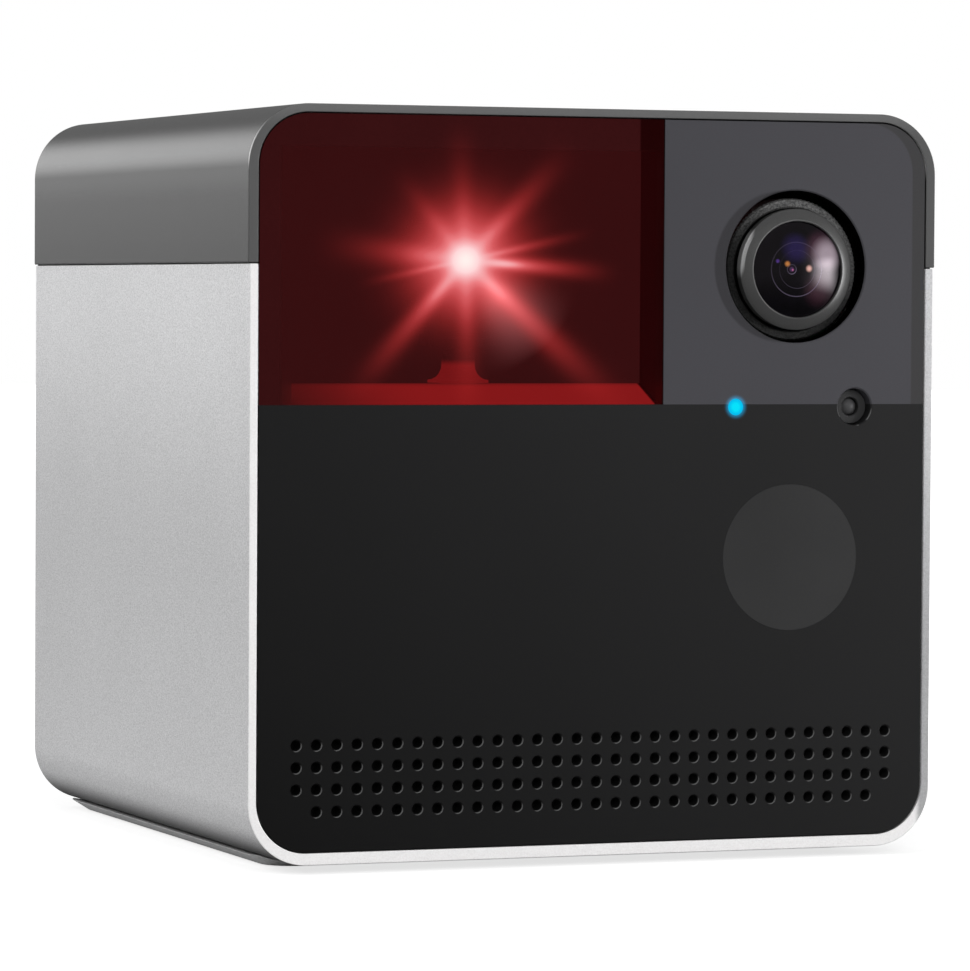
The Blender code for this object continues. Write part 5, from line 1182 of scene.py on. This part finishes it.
def dress_outside():
    """The case, the panel and what shows in it."""
    dress(silver_finish(), "shell_silver")
    dress(cap_finish(), "cap_grey")
    dress(plain_finish("gasket_dark", (0.012, 0.012, 0.012), 0.7), "seam_gasket")
    dress(plain_finish("pad_rubber", (0.75, 0.75, 0.752), 0.8, 0, 2500.0, 0.15, 0.00004), "foot_tray")
    dress(plain_finish("rear_black", (0.02, 0.02, 0.021), 0.42), "rear_cover")
    screws = [f"rear_screw_{number}" for number in (1, 2, 3, 4)]
    dress(plain_finish("screw_black", (0.02, 0.02, 0.02), 0.35, 0.9), *screws)
    dress(panel_finish(), "panel_face")
    dress(infrared_finish(), "infrared_disc")
    dress(light_finish(), "status_light")
    dress(plain_finish("seat_dark", (0.036, 0.036, 0.037), 0.55), "sensor_seat")
    dress(plain_finish("sensor_grey", (0.07, 0.07, 0.072), 0.4), "sensor_dome")
    dress(dome_finish(), "lens_dome")
    dress(trim_finish(), "lens_trim")
    dress(grip_finish(), "focus_grip")
    dress(cloth_finish(), "grille_cloth")


def dress_window():
    """The red window and the turret behind it."""
    dress(pane_finish(), "window_pane")
    dress(painted_glow_finish("funnel_red", 0.05, funnel_glow), "window_bezel")
    dress(chamber_finish("chamber_red", WALL_GLOW), "laser_housing")
    dress(chamber_finish("pedestal_red", PEDESTAL_GLOW), "pan_pedestal", "pan_bush", "pan_shaft")
    turret = ("pan_yoke", "tilt_gear", "tilt_motor", "laser_barrel", "tilt_pinion")
    dress(chamber_finish("turret_dark", (0.09, 0.013, 0.014)), *turret)
    dress(chamber_finish("laser_glass", (0.11, 0.015, 0.016)), "laser_lens")


def dress_inside():
    """What the case hides."""
    moulded = ("motor_bracket", "lens_holder", "speaker_box", "inner_chassis", "setup_button")
    dress(plain_finish("moulded_dark", (0.016, 0.016, 0.017), 0.5), *moulded)
    dress(plain_finish("turned_brass", (0.6, 0.4, 0.14), 0.3, 1.0), "tripod_nut", "pan_pinion", "laser_diode")
    steel = ("pan_motor", "microphone", "speaker_frame", "usb_port", "speaker_magnet")
    dress(plain_finish("plated_steel", (0.5, 0.5, 0.5), 0.3, 1.0), *steel)
    dress(plain_finish("black_anodised", (0.012, 0.012, 0.013), 0.4, 0.6), "lens_barrel", "heat_sink")
    boards = ("main_board", "power_board", "front_board", "camera_board", "button_board", "wifi_antenna")
    dress(board_finish(), *boards)
    dress(plain_finish("chip_black", (0.01, 0.01, 0.011), 0.4), "image_sensor", "button_switch")
    dress(plain_finish("filter_teal", (0.03, 0.12, 0.14), 0.1), "ir_cut_filter")
    lamps = ("status_led", "ir_led_1", "ir_led_2", "ir_led_3")
    dress(plain_finish("lamp_clear", (0.5, 0.5, 0.48), 0.2), *lamps)
    dress(plain_finish("gear_white", (0.5, 0.49, 0.46), 0.45), "pan_gear")
    dress(plain_finish("cone_paper", (0.02, 0.02, 0.02), 0.8, 0, 3000.0, 0.2, 0.00003), "speaker_cone")


# Studio


def add_lamp(name, place, width, height, power, reflected):
    """A soft lamp that looks at the object."""
    data = bpy.data.lights.new(name, "AREA")
    data.shape = "RECTANGLE"
    data.size = width
    data.size_y = height
    data.energy = power
    lamp = bpy.data.objects.new(name, data)
    lamp.visible_glossy = reflected
    lamp.location = place
    lamp.rotation_euler = (Vector(LAMP_AIM) - Vector(place)).to_track_quat("-Z", "Y").to_euler()
    bpy.context.scene.collection.objects.link(lamp)


def seen_rays(tree):
    """1 where the camera looks, straight or by way of gloss or glass."""
    path = tree.nodes.new("ShaderNodeLightPath")
    seen = Term(tree, path.outputs["Is Camera Ray"])
    seen = seen.maths("MAXIMUM", Term(tree, path.outputs["Is Glossy Ray"]))
    return seen.maths("MAXIMUM", Term(tree, path.outputs["Is Transmission Ray"]))


def card(directions, edges):
    """A soft-edged reflector: 1 in the directions between each axis's inner pair of numbers."""
    share = None
    for axis, (start, full, last, end) in zip(directions, edges):
        inside = axis.fade(start, full) * axis.fade(last, end, 1, 0)
        share = inside if share is None else share * inside
    return share


def make_world():
    """White behind the object, a dim room for reflections, and soft cards that put lights on gloss."""
    world = bpy.data.worlds.new("studio")
    bpy.context.scene.world = world
    world.use_nodes = True
    tree = world.node_tree
    background = tree.nodes["Background"]
    path = tree.nodes.new("ShaderNodeLightPath")
    coordinates = tree.nodes.new("ShaderNodeTexCoord")
    split = tree.nodes.new("ShaderNodeSeparateXYZ")
    tree.links.new(coordinates.outputs["Generated"], split.inputs[0])
    directions = [Term(tree, split.outputs[axis]) for axis in range(3)]
    gloss = directions[1].fade(*ROOM_DEPTH) * directions[2].fade(*ROOM_HEIGHT)
    for bright, edges in CARDS:
        gloss = gloss + card(directions, edges) * bright
    camera = Term(tree, path.outputs["Is Camera Ray"])
    seen = camera.maths("MAXIMUM", seen_rays(tree) * gloss)
    strength = seen + seen_rays(tree).line(0, 1, WORLD_FILL, 0.0)
    background.inputs["Color"].default_value = (1, 1, 1, 1)
    tree.links.new(strength.socket, background.inputs["Strength"])


def make_floor():
    """A white floor, a little dim close to the object, that gloss doesn't show."""
    bm = bmesh.new()
    add_turned(bm, [(0, 0), (GROUND_RADIUS, 0)], 0, 0, GROUND_SIDES)
    mesh = bpy.data.meshes.new("floor")
    bm.to_mesh(mesh)
    bm.free()
    mesh.transform(Matrix.Rotation(math.pi / 2, 4, "X"))
    floor = bpy.data.objects.new("floor", mesh)
    floor.location = (0, 0, -GROUND_DROP)
    floor.visible_glossy = False
    bpy.context.scene.collection.objects.link(floor)
    material, tree, shader = start_material(
        "floor_white",
        Base_Color=(0.5, 0.5, 0.5, 1),
        Roughness=0.9,
        Specular_IOR_Level=0.0,
        Emission_Color=(1, 1, 1, 1),
    )
    _, (x, y, _) = places(tree)
    filled = distance(x, y, 0, 0).fade(*GROUND_SHADE)
    tree.links.new((seen_rays(tree) * filled).socket, shader.inputs["Emission Strength"])
    mesh.materials.append(material)


def make_camera():
    """The camera, placed as the photograph's."""
    data = bpy.data.cameras.new("camera")
    data.lens = CAMERA_LENS
    data.sensor_width = CAMERA_SENSOR
    camera = bpy.data.objects.new("camera", data)
    forward = Vector((
        math.sin(CAMERA_YAW) * math.cos(CAMERA_PITCH),
        math.cos(CAMERA_YAW) * math.cos(CAMERA_PITCH),
        math.sin(CAMERA_PITCH),
    ))
    level = Vector((math.cos(CAMERA_YAW), -math.sin(CAMERA_YAW), 0))
    upright = level.cross(forward)
    right = level * math.cos(CAMERA_ROLL) + upright * math.sin(CAMERA_ROLL)
    up = right.cross(forward)
    matrix = Matrix((right, up, -forward)).transposed().to_4x4()
    matrix.translation = CAMERA_PLACE
    camera.matrix_world = matrix
    bpy.context.scene.collection.objects.link(camera)
    bpy.context.scene.camera = camera


make_camera()
make_shell()
make_cap()
make_gasket()
make_foot()
make_panel()
make_disc()
make_pane()
make_glass()
make_trim()
make_focus_ring()
make_status_light()
make_seat()
make_sensor()
dress_outside()
dress_window()
dress_inside()
make_world()
make_floor()
for lamp_settings in LAMPS:
    add_lamp(*lamp_settings)
bpy.context.scene.view_settings.view_transform = "Standard"
